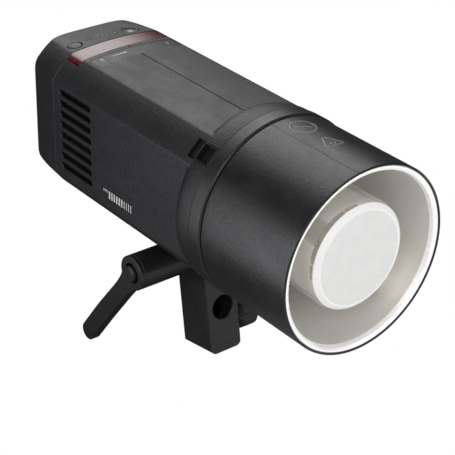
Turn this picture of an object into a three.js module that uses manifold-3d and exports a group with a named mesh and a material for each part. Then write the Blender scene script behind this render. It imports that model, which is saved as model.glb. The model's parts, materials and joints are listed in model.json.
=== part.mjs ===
// Battery monolight strobe head with its standard reflector and tilting stand bracket.
// Millimetres, +Z up, the light faces -Y. The part's origin lies on the stand bracket's bottom face,
// in front of the socket's mouth. Inside the head group y runs back from the reflector's front rim
// and z up from the optical axis. Inside the bracket group the origin is the tilt axis.
import * as THREE from "three";
import { mergeVertices } from "three/addons/utils/BufferGeometryUtils.js";
import Module from "manifold-3d";

const wasm = await Module();
wasm.setup();

// Driving dimensions of the head.
const RING_RADIUS = 62.5;
const TUBE_RADIUS = 61.6;
const CORNER_RADIUS = 61.3;
const FLAT = 50.6;
const TOP_CROWN = 2.2;
const WALL = 2.4;
const GAP = 0.3;
const TUBE_END = 78.2;
const RING_START = 78.6;
const RING_END = 88.7;
const HOUSING_START = 89;
const SHOULDER_END = 110.3;
const WINDOW_START = 241.5;
const HOUSING_END = 256.1;
const COVER_START = 256.4;
const COVER_END = 289;
const COVER_REACH = 68.8;
const COVER_CORNERS = [[61.4, 230], [61.4, 257], [60.6, 264], [60, 270], [59.1, 277], [58.1, 283], [57, 289], [57, 293]];

// Driving dimensions of the tilt joint and the stand bracket.
const PIVOT_Y = 155;
const PIVOT_Z = -63.5;
const BRACKET_LEAN = THREE.MathUtils.degToRad(-9.15);
const PIVOT_ROUND = 12.3;
const BRACKET_HALF = 12.8;
const BRACKET_FRONT = -17.3;
const BRACKET_BACK = 13.8;
const BRACKET_BOTTOM = -71.4;
const SOCKET_Y = (BRACKET_FRONT + BRACKET_BACK) / 2;
const SOCKET_RADIUS = 8.2;
const SPIGOT_Z = -39;
const LOCK_Z = -55.5;
const SEAT_Y = -13.6;
const TONGUE_HALF = 4;
const BOLT_RADIUS = 3.9;
const HUB_RADIUS = 12.05;
const HUB_INNER = -19;
const HUB_OUTER = -58.6;
const ARM_ANGLE = -44.4;
const ARM_TIP = 91.7;

// Other shared sizes, in the head's own coordinates.
const SLIDER_ANGLE = THREE.MathUtils.degToRad(135.4);
const PIN_RING = 57.3;
const BATTERY_HALF_Z = 32.2;
const BATTERY_FRONT = 119.8;
const BATTERY_BACK = 238.2;
const BATTERY_INNER = 12.6;
const BUTTON_ROW_Y = 264.6;
const LED_ROW_Y = 265.7;
const CHECK_BUTTON = { x: -27.2, radius: 4.9 };
const LOCK_BUTTON = { x: 18.4, radius: 5.6 };
const BUTTON_GAP = 0.35;
const PANEL_FACE = 286.4;
const DIAL_Z = -20;
const BAND_HALF_ANGLE = THREE.MathUtils.degToRad(37);
const LED_X = [-15.3, -7.6, -0.4, 6.3];
const KEYS = {
  mode_button: [-24, -12],
  group_button: [-24, -27],
  lamp_button: [24, -12],
  test_button: [24, -27],
};
const FAN_X = -41.7;
const FAN_Y = 230;
const FAN_Z = 2.4;
const SCREWS = [
  [-10.8, PIVOT_Y - 17.5],
  [10.8, PIVOT_Y - 17.5],
  [-10.8, PIVOT_Y + 17.5],
  [10.8, PIVOT_Y + 17.5],
];

const COLOURS = {
  plastic: { color: 0x2b2b2e, roughness: 0.62, metalness: 0 },
  panel: { color: 0x1b1b1d, roughness: 0.45, metalness: 0 },
  keys: { color: 0x3a3a3d, roughness: 0.6, metalness: 0 },
  paint: { color: 0x202123, roughness: 0.42, metalness: 0.2 },
  coat: { color: 0x252629, roughness: 0.5, metalness: 0.1 },
  silver: { color: 0xb9b6b0, roughness: 0.3, metalness: 1 },
  steel: { color: 0x9a9a9c, roughness: 0.35, metalness: 1 },
  chrome: { color: 0xd8d8da, roughness: 0.12, metalness: 1 },
  brass: { color: 0xb08a4a, roughness: 0.35, metalness: 1 },
  frosted: { color: 0xf2f0ec, roughness: 0.55, metalness: 0 },
  quartz: { color: 0xe8e4dc, roughness: 0.08, metalness: 0 },
  ceramic: { color: 0xe6e2d8, roughness: 0.6, metalness: 0 },
  red: { color: 0x5a1016, roughness: 0.15, metalness: 0 },
  screen: { color: 0x101418, roughness: 0.08, metalness: 0 },
  rubber: { color: 0x161617, roughness: 0.85, metalness: 0 },
  board: { color: 0x1d4a2c, roughness: 0.5, metalness: 0 },
  can: { color: 0x20242e, roughness: 0.35, metalness: 0.3 },
  light_guide: { color: 0xcfd4d2, roughness: 0.3, metalness: 0 },
};
const materials = Object.fromEntries(
  Object.entries(COLOURS).map(([name, look]) => [name, new THREE.MeshStandardMaterial({ ...look, name })]),
);

// Turns a closed geometry into a manifold solid that faces outwards.
function solid(geometry) {
  const bare = geometry.clone();
  bare.deleteAttribute("normal");
  bare.deleteAttribute("uv");
  const merged = mergeVertices(bare, 1e-4);
  const vertProperties = merged.attributes.position.array;
  const triVerts = new Uint32Array(merged.index.array);
  const made = new wasm.Manifold(new wasm.Mesh({ numProp: 3, vertProperties, triVerts }));
  if (made.volume() > 0) return made;
  for (let i = 0; i < triVerts.length; i += 3) {
    [triVerts[i + 1], triVerts[i + 2]] = [triVerts[i + 2], triVerts[i + 1]];
  }
  return new wasm.Manifold(new wasm.Mesh({ numProp: 3, vertProperties, triVerts }));
}

const join = (...solids) => solids.reduce((sum, next) => sum.add(next));
const cut = (body, ...tools) => tools.reduce((left, tool) => left.subtract(tool), body);
const common = (...solids) => solids.reduce((left, next) => left.intersect(next));

// A named mesh with its material, added to its group.
function place(group, name, material, body) {
  const mesh = body.getMesh();
  const geometry = new THREE.BufferGeometry();
  geometry.setAttribute("position", new THREE.BufferAttribute(mesh.vertProperties, 3));
  geometry.setIndex(new THREE.BufferAttribute(mesh.triVerts, 1));
  const node = new THREE.Mesh(geometry, materials[material]);
  node.name = name;
  group.add(node);
}

// Primitive solids.
function box(x0, x1, y0, y1, z0, z1) {
  const geometry = new THREE.BoxGeometry(x1 - x0, y1 - y0, z1 - z0);
  return solid(geometry.translate((x0 + x1) / 2, (y0 + y1) / 2, (z0 + z1) / 2));
}

function rodX(radius, x0, x1, y, z, sides = 20) {
  const geometry = new THREE.CylinderGeometry(radius, radius, x1 - x0, sides);
  return solid(geometry.rotateZ(-Math.PI / 2).translate((x0 + x1) / 2, y, z));
}

function rodY(radius, y0, y1, x, z, sides = 20) {
  const geometry = new THREE.CylinderGeometry(radius, radius, y1 - y0, sides);
  return solid(geometry.translate(x, (y0 + y1) / 2, z));
}

function rodZ(radius, z0, z1, x, y, sides = 20) {
  const geometry = new THREE.CylinderGeometry(radius, radius, z1 - z0, sides);
  return solid(geometry.rotateX(Math.PI / 2).translate(x, y, (z0 + z1) / 2));
}

// A solid turned about the Y axis from [radius, y] points.
function turnedY(points, sides = 42) {
  return solid(new THREE.LatheGeometry(points.map(([r, y]) => new THREE.Vector2(r, y)), sides));
}

// A solid turned about the X axis from [radius, x] points.
function turnedX(points, y, z, sides = 24) {
  const geometry = new THREE.LatheGeometry(points.map(([r, x]) => new THREE.Vector2(r, x)), sides);
  return solid(geometry.rotateZ(-Math.PI / 2).translate(0, y, z));
}

// Prisms: outlines in the XZ, YZ and XY planes, drawn out along the third axis.
function prismY(outline, y0, y1, curveSegments = 4) {
  const geometry = new THREE.ExtrudeGeometry(outline, { depth: y1 - y0, bevelEnabled: false, curveSegments });
  return solid(geometry.rotateX(Math.PI / 2).translate(0, y1, 0));
}

function prismX(outline, x0, x1, curveSegments = 4) {
  const geometry = new THREE.ExtrudeGeometry(outline, { depth: x1 - x0, bevelEnabled: false, curveSegments });
  const turn = new THREE.Matrix4().makeBasis(
    new THREE.Vector3(0, 1, 0),
    new THREE.Vector3(0, 0, 1),
    new THREE.Vector3(1, 0, 0),
  );
  return solid(geometry.applyMatrix4(turn).translate(x0, 0, 0));
}

function prismZ(outline, z0, z1, curveSegments = 4) {
  const geometry = new THREE.ExtrudeGeometry(outline, { depth: z1 - z0, bevelEnabled: false, curveSegments });
  return solid(geometry.translate(0, 0, z0));
}

// Outlines.
function roundedRect(a0, a1, b0, b1, radius) {
  const shape = new THREE.Shape();
  shape.moveTo(a0 + radius, b0);
  shape.lineTo(a1 - radius, b0);
  shape.absarc(a1 - radius, b0 + radius, radius, -Math.PI / 2, 0);
  shape.lineTo(a1, b1 - radius);
  shape.absarc(a1 - radius, b1 - radius, radius, 0, Math.PI / 2);
  shape.lineTo(a0 + radius, b1);
  shape.absarc(a0 + radius, b1 - radius, radius, Math.PI / 2, Math.PI);
  shape.lineTo(a0, b0 + radius);
  shape.absarc(a0 + radius, b0 + radius, radius, Math.PI, Math.PI * 1.5);
  return shape;
}

function polygon(points) {
  return new THREE.Shape(points.map(([a, b]) => new THREE.Vector2(a, b)));
}

// A slice of a ring between two radii and two angles, seen along Y.
function sector(r0, r1, middle, halfAngle, steps = 6) {
  const angles = Array.from({ length: steps + 1 }, (_, i) => middle - halfAngle + (2 * halfAngle * i) / steps);
  const outer = angles.map((a) => [r1 * Math.cos(a), r1 * Math.sin(a)]);
  const inner = angles.map((a) => [r0 * Math.cos(a), r0 * Math.sin(a)]).reverse();
  return polygon([...outer, ...inner]);
}

// The case's cross-section: a round bar with four flats, the top one slightly crowned.
function caseOutline(inset) {
  const flat = FLAT - inset;
  const corner = CORNER_RADIUS - inset;
  const edge = Math.acos(flat / corner);
  const arcSteps = 4;
  const crownSteps = 6;
  const points = [];
  for (let side = 0; side < 4; side += 1) {
    const start = (side * Math.PI) / 2 + edge;
    const sweep = Math.PI / 2 - 2 * edge;
    for (let i = 0; i <= arcSteps; i += 1) {
      const angle = start + (sweep * i) / arcSteps;
      points.push([corner * Math.cos(angle), corner * Math.sin(angle)]);
    }
    if (side !== 0) continue;
    const half = corner * Math.sin(edge);
    for (let i = 1; i < crownSteps; i += 1) {
      const x = half - (2 * half * i) / crownSteps;
      points.push([x, flat + TOP_CROWN * (1 - (x / half) ** 2)]);
    }
  }
  return polygon(points);
}

const topHeight = (x) => FLAT + TOP_CROWN * (1 - (x / 35.5) ** 2);

// The case from the ring's back face to the rear seam, as one full block.
function caseBlock(inset, y0, y1) {
  const bar = prismY(caseOutline(inset), y0, y1);
  const shoulder = turnedY([
    [0, y0],
    [62.1 - inset, y0],
    [61.9 - inset, 99],
    [61 - inset, 103.6],
    [58.4 - inset, 107],
    [FLAT - inset - 0.4, SHOULDER_END],
    [0, SHOULDER_END],
  ]);
  return bar.add(shoulder);
}

// Housing: two half shells that meet in the lengthwise seam, with all their openings.
function housingShell() {
  const shell = cut(
    caseBlock(0, HOUSING_START, HOUSING_END),
    caseBlock(WALL, HOUSING_START - 1, HOUSING_END + 1),
  );
  const windowNotch = common(
    prismY(caseOutline(-2), WINDOW_START - GAP, HOUSING_END + 1),
    prismY(sector(20, 70, Math.PI / 2, BAND_HALF_ANGLE + 0.012), WINDOW_START - GAP, HOUSING_END + 1),
    box(-70, 70, 200, 300, 33, 70),
  );
  const stripRecess = box(-33.2, 33.2, 224.8, 237.8, 50.4, 60);
  const sliderSlot = prismY(sector(50, 66, SLIDER_ANGLE, THREE.MathUtils.degToRad(6.2)), 89.9, 109.9);
  const footOpening = box(-15.3, 15.3, PIVOT_Y - 22.8, PIVOT_Y + 22.8, -54, -45);
  const batteryZ = BATTERY_HALF_Z + 0.4;
  const batteryOpening = box(40, 60, BATTERY_FRONT - 0.4, BATTERY_BACK + 0.4, -batteryZ, batteryZ);
  return cut(shell, windowNotch, stripRecess, sliderSlot, footOpening, batteryOpening, ...ventSlots());
}

// Eight cooling slots through the left wall.
function ventSlots() {
  const slots = [];
  for (let i = 0; i < 8; i += 1) {
    const z = 29.4 - 7.72 * i;
    slots.push(prismX(roundedRect(211.9, 248.1, z - 2.1, z + 2.1, 2), -56, -46, 1));
  }
  return slots;
}

function addHousings(head) {
  const shell = housingShell();
  place(head, "housing_left", "plastic", common(shell, box(-70, -0.15, 80, 260, -70, 70)));
  place(head, "housing_right", "plastic", common(shell, box(0.15, 70, 80, 260, -70, 70)));
}

// Front ring with its bayonet gate: three entry gaps in a retaining flange.
function addFrontRing(head) {
  const ring = turnedY([
    [52.3, RING_START],
    [RING_RADIUS - 0.5, RING_START],
    [RING_RADIUS, RING_START + 0.5],
    [RING_RADIUS, RING_END],
    [52.3, RING_END],
    [52.3, RING_START],
  ]);
  const lugs = [];
  for (let i = 0; i < 3; i += 1) {
    const middle = Math.PI / 2 + (i * 2 * Math.PI) / 3;
    lugs.push(prismY(sector(49.1, 53, middle, THREE.MathUtils.degToRad(42), 8), RING_START, 83.4));
  }
  const pinHole = rodY(1.5, 70, 95, PIN_RING * Math.cos(SLIDER_ANGLE), PIN_RING * Math.sin(SLIDER_ANGLE), 10);
  place(head, "front_ring", "paint", cut(join(ring, ...lugs), pinHole));
}

// Accessory release slider: a finger hollow on a carriage that runs under the housing wall.
function addReleaseSlider(head) {
  const block = prismY(sector(56.4, 61.3, SLIDER_ANGLE, THREE.MathUtils.degToRad(5.7)), 90.3, 103.3);
  const carriage = prismY(sector(56, 58.8, SLIDER_ANGLE, THREE.MathUtils.degToRad(7.4)), 90.3, 111.5);
  const hollow = prismY(sector(58.9, 66, SLIDER_ANGLE, THREE.MathUtils.degToRad(4.7)), 91.5, 102.1);
  place(head, "release_slider", "plastic", cut(join(block, carriage), hollow));
  const x = PIN_RING * Math.cos(SLIDER_ANGLE);
  const z = PIN_RING * Math.sin(SLIDER_ANGLE);
  place(head, "lock_pin", "steel", rodY(1.1, 77.3, 90.1, x, z, 10));
}

// Standard reflector: painted tube, polished cone and the bayonet collar behind them.
function addReflector(head) {
  const tube = turnedY([
    [60.2, 0],
    [TUBE_RADIUS - 0.4, 0],
    [TUBE_RADIUS, 0.4],
    [TUBE_RADIUS, TUBE_END],
    [49.2, TUBE_END],
    [49.2, TUBE_END - 1.6],
    [60.2, TUBE_END - 1.6],
    [60.2, 0],
  ]);
  const pinTrack = prismY(sector(55.8, 58.8, SLIDER_ANGLE, THREE.MathUtils.degToRad(26), 6), 70, 80);
  place(head, "reflector_tube", "coat", cut(tube, pinTrack));
  place(head, "reflector_cone", "silver", turnedY([
    [59.9, 0.9],
    [59.9, 5.8],
    [58.2, 5.8],
    [42.4, 71.6],
    [47, 71.6],
    [47, 73],
    [40.9, 73],
    [57, 5.2],
    [58.9, 0.9],
    [59.9, 0.9],
  ]));
  const collar = turnedY([
    [44, 73.3],
    [56, 73.3],
    [56, 76.2],
    [48.7, 76.2],
    [48.7, 87],
    [44, 87],
    [44, 73.3],
  ]);
  const tabs = [];
  for (let i = 0; i < 3; i += 1) {
    const middle = Math.PI / 2 + (i * 2 * Math.PI) / 3;
    tabs.push(prismY(sector(48, 51.6, middle, THREE.MathUtils.degToRad(14), 4), 84, 86.8));
  }
  place(head, "bayonet_collar", "steel", join(collar, ...tabs));
}

// Glass dome, flash tube, modelling lamp and the parts that carry them.
function addLampParts(head) {
  place(head, "glass_dome", "frosted", turnedY([
    [0, 5.6],
    [31.5, 6],
    [34.6, 8],
    [35.7, 11],
    [35.7, 71.8],
    [33.5, 71.8],
    [33.5, 11.6],
    [31, 8.2],
    [0, 7.8],
  ], 36));
  place(head, "flash_tube", "quartz", flashTube());
  place(head, "modelling_lamp", "ceramic", turnedY([
    [0, 45],
    [5, 45.8],
    [8, 49],
    [8.4, 51],
    [10.5, 51.4],
    [10.5, 65.8],
    [0, 65.8],
  ], 20));
  place(head, "tube_base", "ceramic", turnedY([
    [0, 66.1],
    [32.8, 66.1],
    [33.1, 72.1],
    [38.5, 72.1],
    [38.5, 75.7],
    [0, 75.7],
  ], 32));
  place(head, "lamp_bulkhead", "steel", turnedY([
    [0, 76],
    [43.3, 76],
    [43.3, 89.3],
    [54, 89.3],
    [54, 91.6],
    [40.5, 91.6],
    [40.5, 79],
    [0, 79],
  ], 36));
}

// A quartz ring of most of a turn with two legs down to the base.
function flashTube() {
  const points = [];
  const ringRadius = 22;
  const front = 34;
  const gapAngle = 0.3;
  const leg = (angle) => [ringRadius * Math.sin(angle), -ringRadius * Math.cos(angle)];
  const [x0, z0] = leg(gapAngle);
  points.push(new THREE.Vector3(x0, 65.9, z0));
  points.push(new THREE.Vector3(x0, 50, z0));
  points.push(new THREE.Vector3(x0, front + 6, z0));
  const steps = 12;
  for (let i = 1; i < steps; i += 1) {
    const angle = gapAngle + ((2 * Math.PI - 2 * gapAngle) * i) / steps;
    const [x, z] = leg(angle);
    points.push(new THREE.Vector3(x, front, z));
  }
  const [x1, z1] = leg(-gapAngle);
  points.push(new THREE.Vector3(x1, front + 6, z1));
  points.push(new THREE.Vector3(x1, 50, z1));
  points.push(new THREE.Vector3(x1, 65.9, z1));
  const outline = new THREE.Shape();
  outline.absarc(0, 0, 3.9, 0, Math.PI * 2);
  const path = new THREE.CatmullRomCurve3(points);
  return solid(new THREE.ExtrudeGeometry(outline, { steps: 30, extrudePath: path, curveSegments: 3 }));
}

// Rear cover: the case section drawn in towards the back, in plan and at its corners.
const coverHalfWidth = (y) => FLAT * Math.sqrt(1 - (Math.max(0, y - COVER_START) / COVER_REACH) ** 2);

function coverOutline(inset) {
  const points = [[FLAT + 12, 240], [FLAT + 12, COVER_START - 1]];
  const steps = 8;
  const depth = COVER_END - inset - COVER_START;
  for (let i = 0; i <= steps; i += 1) {
    const y = COVER_START + (depth * i) / steps;
    points.push([coverHalfWidth(y) - inset, y]);
  }
  const mirrored = points.map(([x, y]) => [-x, y]).reverse();
  return polygon([...points, ...mirrored]);
}

function coverBlock(inset, y0) {
  const ends = polygon([
    [y0 - 10, -70],
    [276, -70],
    [COVER_END + 1, -46 + inset],
    [COVER_END + 1, 50.4 - inset],
    [262, 53.2 - inset],
    [y0 - 10, 53.2 - inset],
  ]);
  const corners = turnedY([
    [0, y0 - 10],
    ...COVER_CORNERS.map(([radius, y]) => [radius - inset, Math.max(y, y0 - 10)]),
    [0, COVER_END + 4],
  ], 64);
  return common(
    prismY(caseOutline(inset), y0, COVER_END + 4),
    prismZ(coverOutline(inset), -70, 70),
    prismX(ends, -70, 70),
    corners,
  );
}

function addRearCover(head) {
  const panelOpening = box(-32.3, 32.3, 280, 300, -35.3, 39.3);
  const panelLedge = box(-30, 30, 270, 300, -33, 37);
  const checkHole = rodZ(CHECK_BUTTON.radius + BUTTON_GAP, 40, 60, CHECK_BUTTON.x, BUTTON_ROW_Y);
  const lockHole = rodZ(LOCK_BUTTON.radius + BUTTON_GAP, 40, 60, LOCK_BUTTON.x, BUTTON_ROW_Y);
  const ledHoles = LED_X.map((x) => rodZ(1.6, 40, 60, x, LED_ROW_Y, 8));
  const flapPocket = box(-17.3, 17.3, 286.2, 300, -46.9, -38.2);
  const portHole = box(-14, 14, 280, 300, -44.8, -40.2);
  const shell = cut(
    coverBlock(0, COVER_START),
    common(coverBlock(WALL, COVER_START - 3), box(-70, 70, 240, 283.6, -70, 70)),
    panelOpening,
    panelLedge,
    checkHole,
    lockHole,
    ...ledHoles,
    flapPocket,
    portHole,
  );
  place(head, "rear_cover", "plastic", shell);
}

// Top controls of the rear cover.
function addTopControls(head) {
  const checkTop = topHeight(CHECK_BUTTON.x) + 0.2;
  const lockTop = topHeight(LOCK_BUTTON.x) - 0.2;
  const checkButton = rodZ(CHECK_BUTTON.radius, 46.6, checkTop, CHECK_BUTTON.x, BUTTON_ROW_Y);
  place(head, "battery_check_button", "keys", checkButton);
  place(head, "battery_lock_button", "keys", cut(
    rodZ(LOCK_BUTTON.radius, 46.2, lockTop, LOCK_BUTTON.x, BUTTON_ROW_Y),
    rodZ(LOCK_BUTTON.radius - 1.2, lockTop - 0.6, 60, LOCK_BUTTON.x, BUTTON_ROW_Y),
  ));
  const pips = LED_X.map((x) => rodZ(1.3, 46.8, topHeight(x) - 0.1, x, LED_ROW_Y, 8));
  place(head, "battery_led_guide", "light_guide", join(box(-17.5, 8.5, 263.2, 268.2, 45.6, 47), ...pips));
}

// Red status window over the top and both upper corners, and the dark strip in front of it.
function addTopWindows(head) {
  const band = cut(
    prismY(caseOutline(0), WINDOW_START, HOUSING_END),
    prismY(caseOutline(2.2), WINDOW_START - 1, HOUSING_END + 1),
  );
  const reach = common(
    prismY(sector(20, 70, Math.PI / 2, BAND_HALF_ANGLE), WINDOW_START, HOUSING_END),
    box(-70, 70, 200, 300, 33.4, 70),
  );
  place(head, "status_window", "red", band.intersect(reach));
  const strip = common(prismY(caseOutline(0.1), 225.1, 237.5), box(-32.9, 32.9, 225.1, 237.5, 50.6, 60));
  place(head, "sensor_strip", "panel", strip);
}

// Control panel on the back with display, dial and keys.
function addControlPanel(head) {
  const openings = [
    prismY(roundedRect(-25.3, 25.3, 1.7, 35.3, 1.5), 280, 290, 1),
    rodY(6.4, 280, 290, 0, DIAL_Z, 24),
    ...Object.values(KEYS).map(([x, z]) => keyBlock(x, z, 6.3, 3.8, 280, 290)),
  ];
  const plate = prismY(roundedRect(-32, 32, -35, 39, 1.5), 283.9, PANEL_FACE, 1);
  place(head, "control_panel", "panel", cut(plate, ...openings));
  place(head, "display_window", "screen", prismY(roundedRect(-25, 25, 2, 35, 1.3), 284.6, PANEL_FACE + 0.3, 1));
  place(head, "display_module", "light_guide", box(-27, 27, 279.6, 283.5, 0, 37));
  place(head, "control_board", "board", box(-31, 31, 270, 271.6, -31, 36));
  for (const [name, [x, z]] of Object.entries(KEYS)) {
    place(head, name, "keys", keyBlock(x, z, 6, 3.5, 283, PANEL_FACE + 1));
  }
  addDial(head);
}

function keyBlock(x, z, halfWidth, halfHeight, y0, y1) {
  const outline = roundedRect(x - halfWidth, x + halfWidth, z - halfHeight, z + halfHeight, 1.9);
  return prismY(outline, y0, y1, 1);
}

// Knurled setting dial around the set button.
function addDial(head) {
  const rim = turnedY([
    [5.4, PANEL_FACE + 0.3],
    [12, PANEL_FACE + 0.3],
    [12, PANEL_FACE + 3.4],
    [11.2, PANEL_FACE + 4.2],
    [5.4, PANEL_FACE + 4.2],
    [5.4, PANEL_FACE + 0.3],
  ], 20);
  const sleeve = turnedY([
    [5.4, 278],
    [6.1, 278],
    [6.1, PANEL_FACE + 0.6],
    [5.4, PANEL_FACE + 0.6],
    [5.4, 278],
  ], 20);
  const grooves = [];
  for (let i = 0; i < 10; i += 1) {
    const angle = (i * Math.PI) / 5;
    grooves.push(rodY(0.9, PANEL_FACE, PANEL_FACE + 6, 12.3 * Math.cos(angle), 12.3 * Math.sin(angle), 4));
  }
  place(head, "set_dial", "keys", cut(join(rim, sleeve), ...grooves).translate([0, 0, DIAL_Z]));
  place(head, "set_button", "keys", rodY(5.1, 280, PANEL_FACE + 3.9, 0, DIAL_Z, 24));
}

// Rubber port cover hinged on its lower edge, with the two sockets behind it.
function addPorts(head) {
  place(head, "port_cover", "rubber", box(-17, 17, 286.5, 288.9, -46.6, -38.8));
  const jack = cut(rodY(3.2, 272, 283.3, -8, -42.5, 16), rodY(1.7, 276, 290, -8, -42.5, 10));
  place(head, "sync_jack", "steel", jack);
  const usbShell = prismY(roundedRect(2.6, 12, -44.3, -40.7, 1.2), 274, 283.3, 1);
  const usbMouth = prismY(roundedRect(3.2, 11.4, -43.8, -41.2, 0.9), 277, 290, 1);
  place(head, "usb_socket", "steel", cut(usbShell, usbMouth));
}

// Power electronics and cooling inside the left half.
function addElectronics(head) {
  place(head, "chassis_tray", "steel", cut(
    box(-30, 30, 112, 252, -46.8, -44.8),
    ...SCREWS.map(([x, y]) => rodZ(2.3, -50, -40, x, y, 8)),
  ));
  place(head, "capacitor_upper", "can", capacitor(17));
  place(head, "capacitor_lower", "can", capacitor(-17.5));
  place(head, "power_board", "board", box(4.5, 6.1, 114, 250, -40, 40));
  place(head, "transformer", "panel", transformer());
  place(head, "heat_sink", "steel", heatSink());
  addFan(head);
}

function capacitor(z) {
  return turnedY([[0, 113], [14, 113], [16, 115], [16, 186], [15, 187.4], [13.6, 186.4], [0, 186.4]], 24)
    .translate([-25, 0, z]);
}

function transformer() {
  const core = box(-28, -4, 206, 238, -26, -2);
  const winding = box(-31, -1.5, 212, 232, -23, -5);
  return join(core, winding);
}

function heatSink() {
  const base = box(-30, 2, 206, 246, 6, 9);
  const fins = [];
  for (let i = 0; i < 7; i += 1) fins.push(box(-30 + 5 * i, -28.4 + 5 * i, 206, 246, 8.5, 32));
  return join(base, ...fins);
}

// Cooling fan behind the slots: a frame and a five-bladed rotor.
function addFan(head) {
  const frame = cut(
    prismX(roundedRect(FAN_Y - 20, FAN_Y + 20, FAN_Z - 20, FAN_Z + 20, 3), -46, -35.6, 1),
    rodX(18.4, -50, -30, FAN_Y, FAN_Z, 32),
  );
  const spokes = join(
    box(-37, -35.6, FAN_Y - 19, FAN_Y + 19, FAN_Z - 1.2, FAN_Z + 1.2),
    box(-37, -35.6, FAN_Y - 1.2, FAN_Y + 1.2, FAN_Z - 19, FAN_Z + 19),
    rodX(7, -37, -35.6, FAN_Y, FAN_Z, 16),
  );
  place(head, "fan_frame", "panel", frame.add(spokes));
  const blades = [];
  for (let i = 0; i < 5; i += 1) {
    const blade = new THREE.BoxGeometry(1.2, 10, 8);
    blade.rotateZ(0.9);
    blade.translate(0, 0, 12.8);
    blade.rotateX((i * 2 * Math.PI) / 5);
    blades.push(solid(blade));
  }
  const rotor = join(rodX(9.5, -4, 3.4, 0, 0, 20), ...blades);
  place(head, "fan_rotor", "keys", rotor.translate([FAN_X, FAN_Y, FAN_Z]));
}

// Battery pack that slides out of the right side, its bay and the contacts.
function addBattery(head) {
  const bay = cut(
    box(10, 47.4, BATTERY_FRONT - 2, BATTERY_BACK + 2, -BATTERY_HALF_Z - 2.2, BATTERY_HALF_Z + 2.2),
    box(11.6, 60, BATTERY_FRONT - 0.4, BATTERY_BACK + 0.4, -BATTERY_HALF_Z - 0.6, BATTERY_HALF_Z + 0.6),
    box(0, 20, 163, 191, -11, 11),
  );
  place(head, "battery_bay", "panel", bay);
  place(head, "bay_contacts", "brass", join(box(6.4, 11, 164, 190, -10, 10), box(10, 13.6, 166, 188, -8, 8)));
  const pack = prismX(
    roundedRect(BATTERY_FRONT, BATTERY_BACK, -BATTERY_HALF_Z, BATTERY_HALF_Z, 3),
    BATTERY_INNER,
    FLAT - 0.1,
    1,
  );
  const grips = [];
  for (let i = 0; i < 6; i += 1) {
    grips.push(box(FLAT - 1.2, 60, 216 + 3.2 * i, 217.4 + 3.2 * i, -18, 18));
  }
  place(head, "battery_pack", "plastic", cut(pack, box(0, 15.4, 163.5, 190.5, -10.5, 10.5), ...grips));
}

// Foot plate under the case with the tongue that the bracket clamps.
function addFoot(head) {
  const plate = prismZ(roundedRect(-15, 15, PIVOT_Y - 22.5, PIVOT_Y + 22.5, 2), -FLAT, -47.2, 1);
  const tongueOutline = new THREE.Shape();
  tongueOutline.moveTo(PIVOT_Y - 14, -48);
  tongueOutline.absarc(PIVOT_Y, PIVOT_Z, 12, Math.PI * 0.97, Math.PI * 2.03, false);
  tongueOutline.lineTo(PIVOT_Y + 14, -48);
  const tongue = prismX(tongueOutline, -TONGUE_HALF, TONGUE_HALF, 9);
  const holes = SCREWS.flatMap(([x, y]) => [rodZ(2.3, -60, -40, x, y, 8), rodZ(4, -60, -48.5, x, y, 12)]);
  const boltHole = rodX(BOLT_RADIUS + 0.4, -10, 10, PIVOT_Y, PIVOT_Z);
  place(head, "foot_plate", "paint", cut(join(plate, tongue), boltHole, ...holes));
  SCREWS.forEach(([x, y], index) => {
    const head4 = cut(rodZ(3.7, -50.4, -48.7, x, y, 12), rodZ(1.6, -60, -49.4, x, y, 6));
    place(head, `foot_screw_${index + 1}`, "steel", head4.add(rodZ(2, -48.8, -42, x, y, 8)));
  });
}

// Stand bracket: a fork at the top, a cross-drilled block with the stand socket below.
function addBracket(bracket) {
  const side = new THREE.Shape();
  side.moveTo(BRACKET_FRONT, BRACKET_BOTTOM);
  side.lineTo(BRACKET_BACK, BRACKET_BOTTOM);
  side.lineTo(BRACKET_BACK, -9);
  side.lineTo(PIVOT_ROUND * Math.cos(-0.1), PIVOT_ROUND * Math.sin(-0.1));
  side.absarc(0, 0, PIVOT_ROUND, -0.1, Math.PI + 0.1, false);
  side.lineTo(BRACKET_FRONT, -11);
  const front = roundedRect(-BRACKET_HALF, BRACKET_HALF, BRACKET_BOTTOM, 30, 4);
  const plan = polygon([
    [-BRACKET_HALF + 1, BRACKET_FRONT],
    [BRACKET_HALF - 1, BRACKET_FRONT],
    [BRACKET_HALF, BRACKET_FRONT + 1],
    [BRACKET_HALF, BRACKET_BACK - 1],
    [BRACKET_HALF - 1, BRACKET_BACK],
    [-BRACKET_HALF + 1, BRACKET_BACK],
    [-BRACKET_HALF, BRACKET_BACK - 1],
    [-BRACKET_HALF, BRACKET_FRONT + 1],
  ]);
  const block = common(prismX(side, -20, 20, 9), prismY(front, -30, 30, 2), prismZ(plan, -80, 20));
  const body = cut(
    block,
    box(-5.4, 5.4, -30, 30, -14.2, 30),
    rodZ(SOCKET_RADIUS, -80, -26, 0, SOCKET_Y, 28),
    rodY(SOCKET_RADIUS + 0.1, -30, 30, 0, SPIGOT_Z, 28),
    rodX(BOLT_RADIUS + 0.4, -20, 20, 0, 0),
    rodX(7.2, 10, 20, 0, 0, 6),
    rodX(3.1, 0, 20, SOCKET_Y, LOCK_Z, 16),
    rodX(5, 0, 10.8, SOCKET_Y, LOCK_Z),
  );
  place(bracket, "stand_bracket", "paint", body);
}

function washer(r0, r1, x0, x1) {
  return turnedX([[r0, x0], [r1, x0], [r1, x1], [r0, x1], [r0, x0]], 0, 0);
}

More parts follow.
